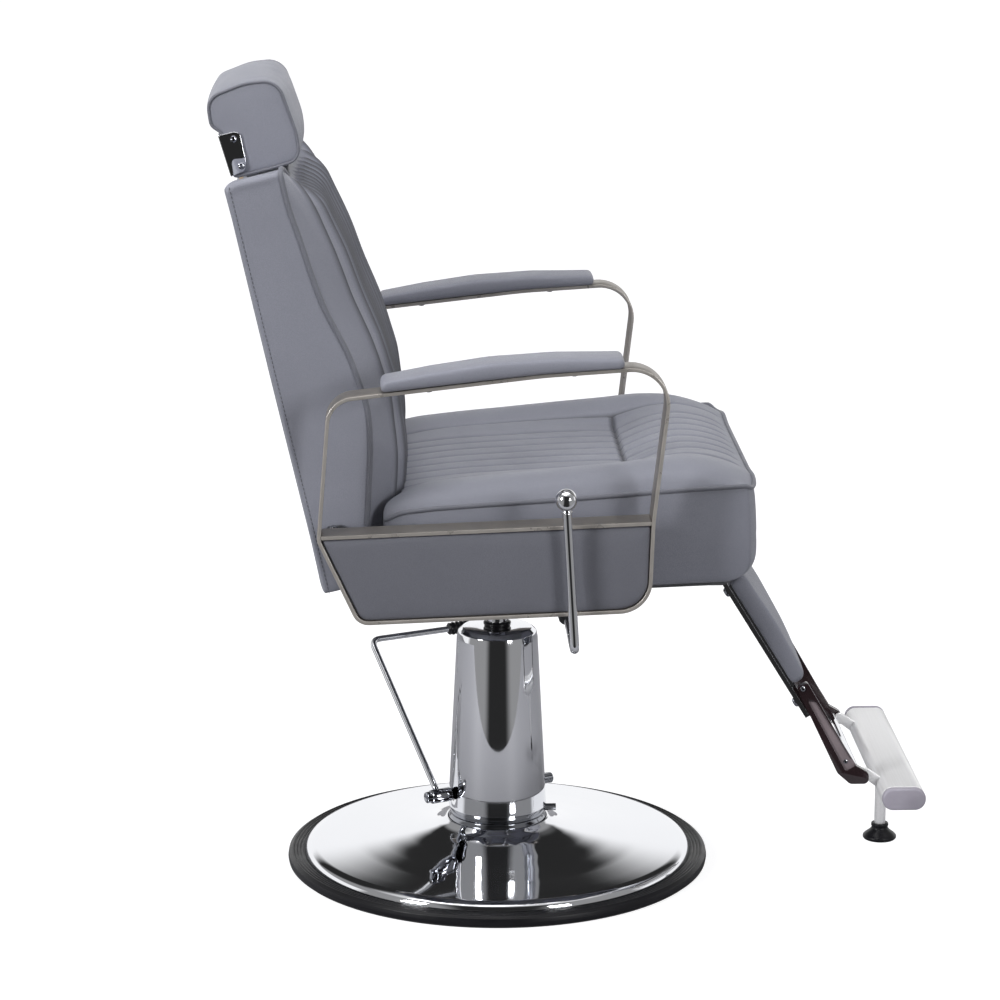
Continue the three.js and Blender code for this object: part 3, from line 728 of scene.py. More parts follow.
# %% A shell from a lattice
def lattice_shell(name, rows, place, material):
    axes = [np.asarray(row, float) for row in rows]
    sizes = [len(axis) for axis in axes]
    index, points, faces = {}, [], []

    def corner(i, j, k):
        key = (i, j, k)
        if key not in index:
            index[key] = len(points)
            points.append((axes[0][i], axes[1][j], axes[2][k]))
        return index[key]

    for axis in range(3):
        u, v = [other for other in range(3) if other != axis]
        for end in (0, sizes[axis] - 1):
            for p in range(sizes[u] - 1):
                for q in range(sizes[v] - 1):
                    quad = []
                    for dp, dq in ((0, 0), (1, 0), (1, 1), (0, 1)):
                        at = [0, 0, 0]
                        at[axis], at[u], at[v] = end, p + dp, q + dq
                        quad.append(corner(*at))
                    if (end == 0) != (axis == 1):
                        quad.reverse()
                    faces.append(quad)
    grid = np.array(points)
    made = piece(name, place(grid), faces, material)
    for number, word in enumerate(("along", "across", "level")):
        store(made, word, grid[:, number])
    return made


def smooth_step(value, low, high):
    t = np.clip((value - low) / (high - low), 0, 1)
    return t * t * (3 - 2 * t)


def curve(value, table):
    places, heights = np.array(table).T
    slopes = np.gradient(heights, places)
    index = np.clip(np.searchsorted(places, value) - 1, 0, len(places) - 2)
    width = places[index + 1] - places[index]
    t = np.clip((value - places[index]) / width, 0, 1)
    first = heights[index] * (1 + 2 * t) * (1 - t) ** 2 + heights[index + 1] * t * t * (3 - 2 * t)
    return first + width * (slopes[index] * t * (1 - t) ** 2 - slopes[index + 1] * t * t * (1 - t))


# %% [markdown]
# ## The seat
#
# The seat is a boxed cushion. Piping runs round the top edge. Inside it, two smooth bolsters stand higher
# than the middle, and the middle is sewn into long channels. A cross seam sits in a valley where the seat
# rises into a roll under the knees, and the channels run on over the roll to the front piping.

# %% The seat's shape
ROW = 0.0055
CHANNEL_ROWS = (0, 7, 14, 21, 30)
CHANNELS = [sign * row * ROW for row in CHANNEL_ROWS for sign in ((1,) if row == 0 else (-1, 1))]
PANEL_HALF = CHANNEL_ROWS[-1] * ROW
SEAT_HALF = 0.265
SEAT_BACK, SEAT_FRONT = -0.130, 0.341
SEAT_CELLS = 86
CROSS_SEAM = SEAT_BACK + 56 * (SEAT_FRONT - SEAT_BACK) / SEAT_CELLS
PIPING_HEIGHT = [(-0.130, 0.105), (-0.117, 0.113), (-0.09, 0.1175), (-0.04, 0.120), (0.02, 0.1215),
                 (0.10, 0.1235), (0.20, 0.127), (0.30, 0.131), (0.341, 0.1335)]
BOLSTER_HEIGHT = [(-0.130, 0.130), (-0.10, 0.1405), (-0.06, 0.145), (0.02, 0.150), (0.10, 0.155),
                  (0.17, 0.159), (0.22, 0.163), (0.267, 0.161), (0.30, 0.152), (0.325, 0.141),
                  (0.341, 0.131)]
PANEL_HEIGHT = [(-0.130, 0.123), (-0.06, 0.129), (0.02, 0.131), (0.10, 0.132), (0.15, 0.1315),
                (0.177, 0.1315), (0.20, 0.1405), (0.228, 0.150), (0.255, 0.1535), (0.285, 0.1505),
                (0.31, 0.143), (0.33, 0.133), (0.341, 0.126)]


def seat_top(x, y):
    edge = curve(x, PIPING_HEIGHT) - 0.008 * smooth_step(x, 0.30, 0.341) * (1 - (y / SEAT_HALF) ** 4)
    crest = curve(x, BOLSTER_HEIGHT) - 0.008 * smooth_step(np.abs(y), 0.19, 0.26) * smooth_step(x, 0.20, 0.32)
    panel = curve(x, PANEL_HEIGHT)
    reach = np.abs(y)
    inner = smooth_step(reach, PANEL_HALF - 0.035, PANEL_HALF + 0.045)
    body = panel + (crest - panel) * inner
    outer = np.clip((reach - 0.205) / (SEAT_HALF - 0.205), 0, 1)
    return body + (edge - body) * (1 - np.sqrt(np.clip(1 - outer ** 2.2, 0, 1)))


def seat_place(grid):
    x, y, level = grid.T
    height = seat_top(x, y) * level
    bow = np.sin(np.pi * level) ** 0.8
    ahead = np.clip((x - 0.25) / (SEAT_FRONT - 0.25), 0, 1)
    foot = np.clip(1 - height / 0.030, 0, 1)
    tuck = 1 - np.sqrt(np.clip(1 - foot ** 2, 0, 1))
    behind = np.clip((0.02 - x) / 0.15, 0, 1) ** 2
    ears = 0.027 * smooth_step(np.abs(y), 0.195, 0.258)
    belly = 0.020 * smooth_step(height, 0.012, 0.034) * (1 - smooth_step(height, 0.066, 0.100))
    middle = np.maximum(ears * smooth_step(height, 0.012, 0.034), belly)
    corner = np.clip((np.abs(y) - 0.215) / 0.05, 0, 1) * np.clip((x - 0.27) / 0.07, 0, 1)
    x = x - 0.030 * tuck * ahead + 0.002 * bow * ahead ** 6 - behind * middle - 0.013 * corner ** 2
    rim = np.clip(np.abs(y) / SEAT_HALF, 0, 1) ** 12
    y = y * (1 + (0.010 * bow - 0.014 * tuck) * rim)
    return seat_frame(np.stack([x, y, height], 1))


def seat_cushion():
    along = np.linspace(SEAT_BACK, SEAT_FRONT, SEAT_CELLS + 1)
    across = np.arange(-48, 49) * ROW * SEAT_HALF / (48 * ROW)
    level = np.linspace(0, 1, 23)
    made = lattice_shell("seat_pad", (along, across, level), seat_place, seat_leather)
    x, y, up = (stored(made, word) for word in ("along", "across", "level"))
    top = up > 0.999
    rim = top & ((np.abs(y) > SEAT_HALF - 0.001) | (x > SEAT_FRONT - 0.001) | (x < SEAT_BACK + 0.001))
    sewn = top & (np.abs(y) < PANEL_HALF + 0.001)
    rows = sewn & (np.min([np.abs(y - line) for line in CHANNELS], 0) < 0.001)
    seam = sewn & (np.abs(x - CROSS_SEAM) < 0.001)
    pins = np.flatnonzero(rim | rows | seam | (up < 0.06))
    fill_out(made, pins, 4.0, 0.006)
    return channels(subdivide(made), CHANNELS, PANEL_HALF, CROSS_SEAM,
                    lambda reach: 1 - smooth_step(reach, 0.316, 0.336))


def channels(made, lines, half, cross=None, fade=None, groove=0.0044, rib=0.0026):
    x, y, up = (stored(made, word) for word in ("along", "across", "level"))
    top = smooth_step(up, 0.985, 0.999)
    panel = np.abs(y) < half + 0.006
    gap = np.min([np.abs(y - line) for line in lines], 0)
    line = np.exp(-(gap / 0.0026) ** 2)
    inside = np.abs(y) < half - 0.001
    lift = np.where(inside, np.sqrt(np.clip(gap / 0.019, 0, 1)), 0)
    strength = top * panel * (1 if fade is None else fade(x))
    # painted shade along each channel seam and the cross seam, handed on to press
    shade = line.copy()
    if cross is not None:
        stitch = np.exp(-((x - cross) / 0.0034) ** 2) * (np.abs(y) < half + 0.003)
        line = np.maximum(line, stitch * 1.1)
        shade = np.maximum(shade, stitch)
        lift = lift * (1 - stitch)
    return press(made, strength * (groove * line - rib * lift), strength * shade ** 1.5)


seat_pad = carry(seat_cushion(), "seat", "leather", "seat_cushion")
print("seat pad", len(seat_pad.data.polygons), "faces")

# %% [markdown]
# ## The back
#
# The back is the same kind of boxed cushion, standing up. Its side is deepest at elbow height, its top
# rounds over backwards, and its front carries the same channels between two plain borders. The level
# coordinate runs from the rear face to the front face here.

# %% The back's shape
BACK_HALF = 0.25
BACK_TOP = 0.5665
TOP_ROUND = 0.026
BACK_SEAM = [(0.0, 0.040), (0.03, 0.062), (0.08, 0.081), (0.132, 0.0965), (0.19, 0.112), (0.236, 0.1185),
             (0.27, 0.116), (0.31, 0.1105), (0.38, 0.093), (0.42, 0.088), (0.465, 0.0845), (0.53, 0.079),
             (0.565, 0.080)]
BACK_CROWN = [(0.0, 0.012), (0.03, 0.034), (0.06, 0.043), (0.09, 0.048), (0.132, 0.050), (0.21, 0.041),
              (0.31, 0.043), (0.38, 0.049), (0.43, 0.0485), (0.471, 0.0425), (0.505, 0.0375),
              (0.535, 0.0265), (0.552, 0.015), (0.565, 0.003)]


def back_place(grid):
    s, y, level = grid.T
    share = np.abs(y) / BACK_HALF
    full = curve(s, BACK_CROWN) * (1 - share ** 6) * 1.03
    full -= 0.006 * (1 - np.clip(share / 0.7, 0, 1) ** 2) ** 2 * smooth_step(s, 0, 0.1)
    front = curve(s, BACK_SEAM) + full
    rear = -0.0055 * (1 - share ** 8) * np.sin(np.pi * np.clip(s / BACK_TOP, 0, 1)) ** 0.5
    rear_lift = 0.005 * share ** 14
    depth = rear + rear_lift + (front - rear - rear_lift) * level
    rise = np.clip(s / BACK_TOP, 0, 1)
    over = np.clip(1 - (depth + 0.004) / TOP_ROUND, 0, 1)
    s = s - TOP_ROUND * (1 - np.sqrt(1 - over ** 2)) * smooth_step(rise, 0.80, 1.0)
    dip = 1 - smooth_step(np.abs(y), 0.130, 0.245)
    s = s - 0.030 * dip * smooth_step(rise, 0.86, 1.0)
    side_round = np.clip((np.abs(y) - BACK_HALF + 0.014) / 0.014, 0, 1)
    s = s - 0.006 * (1 - np.sqrt(1 - side_round ** 2)) * smooth_step(rise, 0.93, 1.0)
    foot = smooth_step(0.04 - grid[:, 0], 0, 0.04) * np.clip((depth - 0.02) / 0.06, 0, 1)
    s = s + 0.030 * foot ** 2
    y = y * (1 + 0.010 * np.sin(np.pi * level) ** 0.7 * share ** 10)
    return back_frame(np.stack([depth, y, s], 1))


BACK_ROWS = (0, 6, 12, 18, 24, 30, 37)
BACK_STEP = BACK_HALF / 45
BACK_LINES = [sign * row * BACK_STEP for row in BACK_ROWS for sign in ((1,) if row == 0 else (-1, 1))]
BACK_PANEL = BACK_ROWS[-1] * BACK_STEP


def back_cushion():
    along = np.linspace(0, BACK_TOP, 104)
    across = np.arange(-45, 46) * ROW * BACK_HALF / (45 * ROW)
    level = 0.35 * np.linspace(0, 1, 21) ** 2 + 0.65 * np.linspace(0, 1, 21)
    made = lattice_shell("back_pad", (along, across, level), back_place, seat_leather)
    s, y, up = (stored(made, word) for word in ("along", "across", "level"))
    front = up > 0.999
    rim = (np.abs(y) > BACK_HALF - 0.001) & (front | (up < 0.001))
    ends = (s < 0.012) | ((s > BACK_TOP - 0.001) & (front | (up < 0.001)))
    rows = front & (np.min([np.abs(y - line) for line in BACK_LINES], 0) < 0.0025)
    rows &= (np.abs(y) < BACK_PANEL + 0.002) & (s < 0.53)
    fill_out(made, np.flatnonzero(rim | ends | rows), 4.0, 0.005)
    made = channels(subdivide(made), BACK_LINES, BACK_PANEL, None, lambda s: 1 - smooth_step(s, 0.545, 0.562))
    return outwards(made)


back_pad = carry(back_cushion(), "back", "leather", "back_cushion")
print("back pad", len(back_pad.data.polygons), "faces")

# %% [markdown]
# ## Pads with a closed side seam
#
# The headrest, the arm pads, the calf pad and the side panels are all an outline with some width. Between
# the two side seams the leather stands a little proud, and each side face is a shallow pillow. The outline
# is walked in even steps and split into four borders. A side face is the patch of quads between them, so
# it has no pole in its middle that would pinch when the cloth is filled.

# %% A pad from an outline
def patch(border, long, high):
    low = border[: long + 1]
    right = border[long: long + high + 1]
    top = border[long + high: 2 * long + high + 1][::-1]
    left = np.vstack([border[2 * long + high:], border[:1]])[::-1]
    u = np.linspace(0, 1, long + 1)[:, None, None]
    v = np.linspace(0, 1, high + 1)[None, :, None]
    sheet = (1 - v) * low[:, None] + v * top[:, None] + (1 - u) * left[None] + u * right[None]
    lower = (1 - u) * (1 - v) * low[0] + u * (1 - v) * low[-1]
    return sheet - (lower + (1 - u) * v * top[0] + u * v * top[-1])


def border_step(i, j, long, high):
    if j == 0:
        return i
    if i == long:
        return long + j
    if j == high:
        return 2 * long + high - i
    return -j


def pad(name, outline, middle, half, crown, bulge, to_chair, high, spacing=0.005, round_over=0.010,
        material=None, pressure=4.0, limit=0.004):
    long = max(4, round(len(even(outline, spacing)) / 2) - high)
    around = np.linalg.norm(np.diff(np.vstack([outline, outline[:1]]), axis=0), axis=1).sum()
    marks = even(outline, 1e-9 + around / (2 * (long + high)))
    count = len(marks)
    out = marks - inset(marks, 1.0)
    rows = max(6, round(2 * half / spacing))
    stations = np.linspace(-1, 1, rows + 1)
    points = []
    for v in stations:
        edge = np.clip((1 - abs(v)) * half / round_over, 0, 1)
        swell = crown[0] * math.sqrt(1 - (1 - edge) ** 2) + crown[1] * (1 - v * v)
        points += [(x + a * swell, middle + v * half, z + b * swell) for (x, z), (a, b) in zip(marks, out)]
    faces = []
    for row in range(0, rows * count, count):
        for k in range(count):
            after = (k + 1) % count
            faces.append((row + k, row + after, row + count + after, row + count + k))
    seams = list(range(count)) + list(range(rows * count, (rows + 1) * count))
    sheet = patch(marks, long, high)
    for side, base in ((-1, 0), (1, rows * count)):
        names = {}
        for i in range(long + 1):
            for j in range(high + 1):
                if i in (0, long) or j in (0, high):
                    names[i, j] = base + border_step(i, j, long, high) % count
                    continue
                spot = sheet[i, j]
                gap = np.linalg.norm(marks - spot, axis=1).min()
                shoulder = math.sqrt(1 - (1 - min(1, gap / round_over)) ** 2)
                rise = bulge[0] * shoulder + bulge[1] * min(1, gap / 0.06)
                names[i, j] = len(points)
                points.append((spot[0], middle + side * (half + rise), spot[1]))
        faces += [(names[i, j], names[i + 1, j], names[i + 1, j + 1], names[i, j + 1])
                  for i in range(long) for j in range(high)]
    made = outwards(piece(name, to_chair(points), faces, material or seat_leather))
    fill_out(made, seams, pressure, limit)
    made = subdivide(made)
    store(made, "valley", np.zeros(len(made.data.vertices)))
    return made


# %% [markdown]
# ## The headrest
#
# The headrest is a small bolster whose side seams carry a narrow welt. It slides up out of the back on a
# flat post. A chromed plate wraps its rear lower edge.

# %% The headrest
HEAD_CORNERS = [(-355, 1003, 5), (-310, 1014, 60), (-268, 1026, 18), (-271, 1060, 80), (-296, 1132, 28),
                (-340, 1127.5, 80), (-390, 1108, 22), (-385, 1072, 12), (-371, 1062.5, 6)]
HEAD_HALF = 0.128
HEAD_OUTLINE = rounded(HEAD_CORNERS, 10)

headrest = pad("headrest_pad", HEAD_OUTLINE, 0, HEAD_HALF, crown=(0.002, 0.003), bulge=(0.001, 0.001),
               to_chair=as_is, high=20)
carry(headrest, "headrest", "leather", "headrest_cushion")

# %% [markdown]
# ## Arm pads and side panels
#
# The arm pad is a slim cushion on a board, thicker at its front. The side panel fills the lower part of the
# arm's loop: a thin board, wrapped in a darker leather, standing just inside the band's edge.

# %% Arm pads and side panels
PAD_HALF = 0.0290
PANEL_SHIFT = 0.0070
PANEL_THICK = 0.0244
PAD_CORNERS = [(-151, 296, 4), (-20, 305.8, 600), (60, 311.3, 300), (164, 314, 4), (163, 326, 5),
               (73, 329, 300), (-10, 326.5, 300), (-86, 318, 200), (-151, 308, 6)]
PANEL_LOOP = inset(BAND_OUTER, BAND_THICK + 0.0006)


def panel_outline():
    top = STRIP_TOP - BAND_THICK - 0.001
    low = [point for point in PANEL_LOOP if point[1] < top]
    start = max(range(len(low)), key=lambda k: np.linalg.norm(low[k] - low[k - 1]))
    low = low[start:] + low[:start]
    corners = [(x * 1000, z * 1000, 0.5) for x, z in low]
    left, right = crossing(PANEL_LOOP, top)
    first_is_right = abs(low[0][0] - right) < abs(low[0][0] - left)
    ends = [(right, top), (left, top)] if first_is_right else [(left, top), (right, top)]
    corners = [(ends[0][0] * 1000, top * 1000, 4)] + corners + [(ends[1][0] * 1000, top * 1000, 4)]
    return np.array([(x, z) for x, z, _ in corners]) / 1000


for side, word in SIDES.items():
    arm_pad = pad("arm_rest_" + word, rounded(PAD_CORNERS, 8), side * ARM_Y, PAD_HALF,
                  crown=(0.0012, 0.0006), bulge=(0.0018, 0.0004), to_chair=seat_frame, high=4,
                  spacing=0.0042, round_over=0.007, limit=0.0012)
    carry(arm_pad, "seat", "leather", "arm_pad_" + word)
    side_panel = pad("panel_" + word, panel_outline(), side * (ARM_Y + PANEL_SHIFT), PANEL_THICK / 2,
                     crown=(0, 0), bulge=(0.0018, 0.0006), to_chair=seat_frame, high=22,
                     spacing=0.0052, round_over=0.006, material=panel_leather, pressure=3.0, limit=0.0008)
    carry(side_panel, "seat", "dark_leather", "side_panel_" + word)

# %% [markdown]
# ## The calf pad
#
# The calf pad lies on the leg rest's plate. It is flat against the plate and softly rounded in front.

# %% The calf pad
CALF_CORNERS = [(23, 4.4, 4), (193, 4.4, 5), (192, 25, 13), (105, 29.5, 300), (17, 27, 8)]
CALF_HALF = 0.1445
calf = pad("calf_rest", rounded(CALF_CORNERS, 8), 0, CALF_HALF, crown=(0.001, 0.001), bulge=(0.0028, 0.001),
           to_chair=leg_frame, high=5, spacing=0.0052, round_over=0.012, limit=0.002)
carry(calf, "legrest", "leather", "calf_pad")

# %% [markdown]
# ## Piping and stitches
#
# Piping is a cord wrapped in leather and sewn into a seam. It follows a path, so Geometry Nodes make it: the
# path becomes a curve, and a round profile is swept along it. Stitches follow a path too, as short bars
# set at an even distance. Each tree ends in Realize Instances and Set Material.

# %% Node trees that follow a path
def tree(name, sizes):
    group = bpy.data.node_groups.new(name, "GeometryNodeTree")
    group.interface.new_socket(name="Geometry", in_out="INPUT", socket_type="NodeSocketGeometry")
    group.interface.new_socket(name="Geometry", in_out="OUTPUT", socket_type="NodeSocketGeometry")
    for word, value in sizes.items():
        socket = group.interface.new_socket(name=word, in_out="INPUT", socket_type="NodeSocketFloat")
        socket.default_value = value
    start = group.nodes.new("NodeGroupInput")
    end = group.nodes.new("NodeGroupOutput")
    return group, start, end


def close(group, last, end, material):
    real = group.nodes.new("GeometryNodeRealizeInstances")
    coat = group.nodes.new("GeometryNodeSetMaterial")
    coat.inputs["Material"].default_value = material
    group.links.new(last, real.inputs["Geometry"])
    group.links.new(real.outputs["Geometry"], coat.inputs["Geometry"])
    group.links.new(coat.outputs["Geometry"], end.inputs[0])
    return group


def piping_tree():
    group, start, end = tree("piping", {"Radius": 0.003})
    nodes, links = group.nodes, group.links
    path = nodes.new("GeometryNodeMeshToCurve")
    circle = nodes.new("GeometryNodeCurvePrimitiveCircle")
    circle.inputs["Resolution"].default_value = 10
    body = nodes.new("GeometryNodeCurveToMesh")
    body.inputs["Fill Caps"].default_value = True
    shade = nodes.new("GeometryNodeSetShadeSmooth")
    links.new(start.outputs[0], path.inputs[0])
    links.new(start.outputs["Radius"], circle.inputs["Radius"])
    links.new(path.outputs[0], body.inputs["Curve"])
    links.new(circle.outputs["Curve"], body.inputs["Profile Curve"])
    links.new(body.outputs[0], shade.inputs["Geometry"])
    return close(group, shade.outputs[0], end, piping_leather)


def stitch_tree():
    group, start, end = tree("stitches", {"Spacing": 0.006, "Length": 0.0036, "Thickness": 0.00045})
    nodes, links = group.nodes, group.links
    path = nodes.new("GeometryNodeMeshToCurve")
    spots = nodes.new("GeometryNodeCurveToPoints")
    spots.mode = "LENGTH"
    bar = nodes.new("GeometryNodeMeshCylinder")
    bar.inputs["Vertices"].default_value = 6
    place = nodes.new("GeometryNodeInstanceOnPoints")
    links.new(start.outputs[0], path.inputs[0])
    links.new(path.outputs[0], spots.inputs["Curve"])
    links.new(start.outputs["Spacing"], spots.inputs["Length"])
    links.new(start.outputs["Thickness"], bar.inputs["Radius"])
    links.new(start.outputs["Length"], bar.inputs["Depth"])
    links.new(spots.outputs["Points"], place.inputs["Points"])
    links.new(spots.outputs["Rotation"], place.inputs["Rotation"])
    links.new(bar.outputs["Mesh"], place.inputs["Instance"])
    return close(group, place.outputs[0], end, seam_thread)


PIPING, STITCHES = piping_tree(), stitch_tree()


def follow(name, path, group, closed=False, **sizes):
    mesh = bpy.data.meshes.new(name)
    count = len(path)
    edges = [(k, k + 1) for k in range(count - 1)] + ([(count - 1, 0)] if closed else [])
    mesh.from_pydata([tuple(point) for point in path], edges, [])
    made = bpy.data.objects.new(name, mesh)
    bpy.context.scene.collection.objects.link(made)
    grow = made.modifiers.new("grow", "NODES")
    grow.node_group = group
    for socket in group.interface.items_tree:
        if socket.in_out == "INPUT" and socket.name in sizes:
            grow[socket.identifier] = sizes[socket.name]
    return freeze(made)


# %% [markdown]
# Each piping path is read off the finished cushion: the points that lie on the seam's row, in order, moved
# outwards by a little less than the cord's radius so that the cord stays half sunk in the seam.

# %% Paths along a cushion's edge
def edge_points(made, chosen, order):
    count = len(made.data.vertices)
    place = np.empty(count * 3)
    made.data.vertices.foreach_get("co", place)
    place = place.reshape(-1, 3)
    numbers = np.flatnonzero(chosen)
    numbers = numbers[np.argsort(order[numbers])]
    return place[numbers]


def rim_path(made, half, near, far):
    x, y, up = (stored(made, word) for word in ("along", "across", "level"))
    lines = {}
    for word, sign in (("right", -1), ("left", 1)):
        chosen = (up > 0.9999) & (np.abs(y - sign * half) < 1e-4) & (x > near) & (x < far)
        lines[word] = edge_points(made, chosen, x)
    return lines


def seat_piping():
    lines = rim_path(seat_pad, SEAT_HALF, SEAT_BACK - 1, SEAT_FRONT + 1)
    x, y, up = (stored(seat_pad, word) for word in ("along", "across", "level"))
    front = edge_points(seat_pad, (up > 0.9999) & (x > SEAT_FRONT - 1e-4), y)
    path = np.vstack([lines["right"], front[2:-2], lines["left"][::-1]])
    outwards_way = np.array([(0, -1, 0)] * len(lines["right"]) + [(1, 0, 0.3)] * (len(front) - 4)
                            + [(0, 1, 0)] * len(lines["left"]))
    return even(path + outwards_way * 0.0012, 0.004, closed=False)


def back_piping():
    lines = rim_path(back_pad, BACK_HALF, -1, BACK_TOP + 1)
    s, y, up = (stored(back_pad, word) for word in ("along", "across", "level"))
    top = edge_points(back_pad, (up > 0.9999) & (s > BACK_TOP - 1e-4), y)
    path = np.vstack([lines["right"], top[2:-2], lines["left"][::-1]])
    away = np.array([(0.3, -1, 0)] * len(lines["right"]) + [(0.3, 0, 1)] * (len(top) - 4)
                    + [(0.3, 1, 0)] * len(lines["left"]))
    return even(path + away * 0.0012, 0.004, closed=False)


def rear_seam(sign, depth=0.0105):
    s, y, up = (stored(back_pad, word) for word in ("along", "across", "level"))
    side = np.abs(y - sign * BACK_HALF) < 1e-4
    place = edge_points(back_pad, side, s * 1000 + up)
    foot = np.array(BACK_FOOT)
    lean = np.array((math.cos(BACK_LEAN), math.sin(BACK_LEAN)))
    front = (place[:, (0, 2)] - foot) @ lean
    rows = {}
    for spot, reach, key in zip(place, front, np.round(np.sort(s[side]), 5)):
        rows.setdefault(key, []).append((reach, spot))
    path = []
    for key in sorted(rows):
        row = sorted(rows[key], key=lambda item: item[0])
        reaches = [item[0] for item in row]
        spots = np.array([item[1] for item in row])
        if reaches[0] < depth < reaches[-1]:
            path.append([np.interp(depth, reaches, spots[:, k]) for k in range(3)])
    return np.array(path) + (0, sign * 0.0002, 0)


carry(follow("seat_cord", seat_piping(), PIPING, Radius=0.0032), "seat", "leather")
carry(follow("back_cord", back_piping(), PIPING, Radius=0.0036), "back", "leather")
for side, word in SIDES.items():
    carry(follow("back_stitches_" + word, even(rear_seam(side), 0.004, False), STITCHES), "back", "leather")
    welt = [(x, side * (HEAD_HALF + 0.0005), z) for x, z in even(HEAD_OUTLINE, 0.004)]
    carry(follow("headrest_welt_" + word, welt, PIPING, True, Radius=0.002), "headrest", "leather")

# %% [markdown]
# ## Footplate and leg rest
#
# The footplate is an aluminium extrusion with plastic end caps, carried by two lugs on a steel pin. Under
# it stands a prop: a tube with a rubber foot.

# %% Plates with a little rounding
def prism(name, outline, near, far, material):
    count = len(outline)
    points = [(x, y, z) for y in (near, far) for x, z in outline]
    faces = [tuple(range(count)), tuple(range(2 * count - 1, count - 1, -1))]
    faces += [(k, (k + 1) % count, count + (k + 1) % count, count + k) for k in range(count)]
    return outwards(piece(name, points, faces, material))


def plate(name, outline, near, far, material, edge=0.0012):
    return refine(prism(name, outline, near, far, material), edge, 3, 50)


FOOT_X, FOOT_Z = 555, 144.5
FOOT_SECTION = [(FOOT_X - 30, FOOT_Z - 15.5, 15), (FOOT_X + 30, FOOT_Z - 15.5, 15),
                (FOOT_X + 30, FOOT_Z + 15.5, 15), (FOOT_X - 30, FOOT_Z + 15.5, 15)]
LUG_CORNERS = [(490, 154, 8.5), (511, 153, 3), (535, 135, 2), (535, 154, 2), (508, 172, 8)]

section = rounded(FOOT_SECTION, 14)
carry(plate("foot_bar", section, -0.188, 0.188, aluminium, 0.0006), "footrest", "aluminium", "footplate")
for side, word in SIDES.items():
    near, far = sorted((side * 0.128, side * 0.134))
    carry(plate("foot_lug_" + word, rounded(LUG_CORNERS), near, far, aluminium), "footrest", "aluminium")
    near, far = sorted((side * 0.1883, side * 0.200))
    carry(plate("foot_cap_" + word, section, near, far, cap_plastic, 0.003), "footrest", "cap_plastic",
          "end_cap_" + word)

PROP = (0.552, 0)
carry(turned("prop_tube", eased([(6, 30), (8, 30), (8, 128.7), (6, 128.7)], 0.5), aluminium, 48, PROP),
      "footrest", "aluminium", "foot_tube")
FOOT_PROFILE = [(0.4, 21), (22.4, 21), (24, 23), (24, 26), (21, 29), (15.5, 33), (12, 37), (11.4, 39.5),
                (12.4, 40.5), (12.4, 44), (11.4, 45), (8.3, 45), (8.3, 29.7), (0.4, 29.7)]
carry(turned("prop_foot", eased(FOOT_PROFILE, 1.6, 4), rubber, 64, PROP), "footrest", "rubber", "rubber_foot")

# %% [markdown]
# Each lower leg arm is a glossy moulding with a sunk field on its outer face. A block with the field's
# outline is cut out with a boolean modifier, and a thin panel of paler plastic is laid on its floor.

# %% The lower leg arms
ARM_CORNERS = [(409, 292, 3), (424, 299, 3), (493, 179, 12), (512, 168, 9), (512, 152, 7), (486, 152, 10),
               (468, 168, 16)]
RECESS_CORNERS = [(424, 274, 2), (436.5, 271, 3), (494, 178, 2), (479.5, 170, 3)]


def leg_arm(side, word):
    near, far = sorted((side * 0.138, side * 0.150))
    made = prism("leg_side_" + word, rounded(ARM_CORNERS, 6), near, far, gloss_black)
    near, far = sorted((side * 0.1462, side * 0.16))
    sunk = prism("sunk", rounded(RECESS_CORNERS, 4), near, far, gloss_black)
    cut = made.modifiers.new("recess", "BOOLEAN")
    cut.object = sunk
    cut.operation = "DIFFERENCE"
    freeze(made)
    bpy.data.objects.remove(sunk)
    return refine(made, 0.0008, 3, 35)


def inlay(side, word):
    near, far = sorted((side * 0.1458, side * 0.1470))
    outline = inset(rounded(RECESS_CORNERS, 4), 0.0008)
    return refine(prism("leg_inlay_" + word, outline, near, far, inlay_plastic), 0.0003, 2, 35)


for side, word in SIDES.items():
    carry(leg_arm(side, word), "legrest", "gloss_black", "leg_arm_" + word)
    carry(inlay(side, word), "legrest", "gloss_black")

# %% [markdown]
# ## The headrest's chromed plate
#
# The plate is one pressing: two flanges on the headrest's sides and a strip that joins them behind.

# %% The headrest's plate
FLANGE_CORNERS = [(-359.5, 1004, 2), (-341, 1012, 6), (-338.5, 1024, 4), (-346, 1062, 6), (-354, 1064.5, 4),
                  (-376, 1059.5, 2)]
STRIP_CORNERS = [(-359.5, 1004, 0.6), (-356.4, 1005, 0.6), (-372.8, 1060, 0.6), (-376, 1059.5, 0.6)]
flange, wrap = rounded(FLANGE_CORNERS, 6), rounded(STRIP_CORNERS, 2)
back_strip = plate("headrest_plate", wrap, -0.1303, 0.1303, chrome, 0.0003)
carry(back_strip, "headrest", "chrome", "headrest_bracket")
for side, word in SIDES.items():
    near, far = sorted((side * 0.1303, side * 0.1333))
    carry(plate("headrest_flange_" + word, flange, near, far, chrome, 0.0009), "headrest", "chrome")

# %% [markdown]
# ## Screws
#
# The chair's screws are all alike: a low button head with a hexagon socket. One tree makes them: a head is
# built once and set on every point of a small mesh, turned to that point's stored direction.

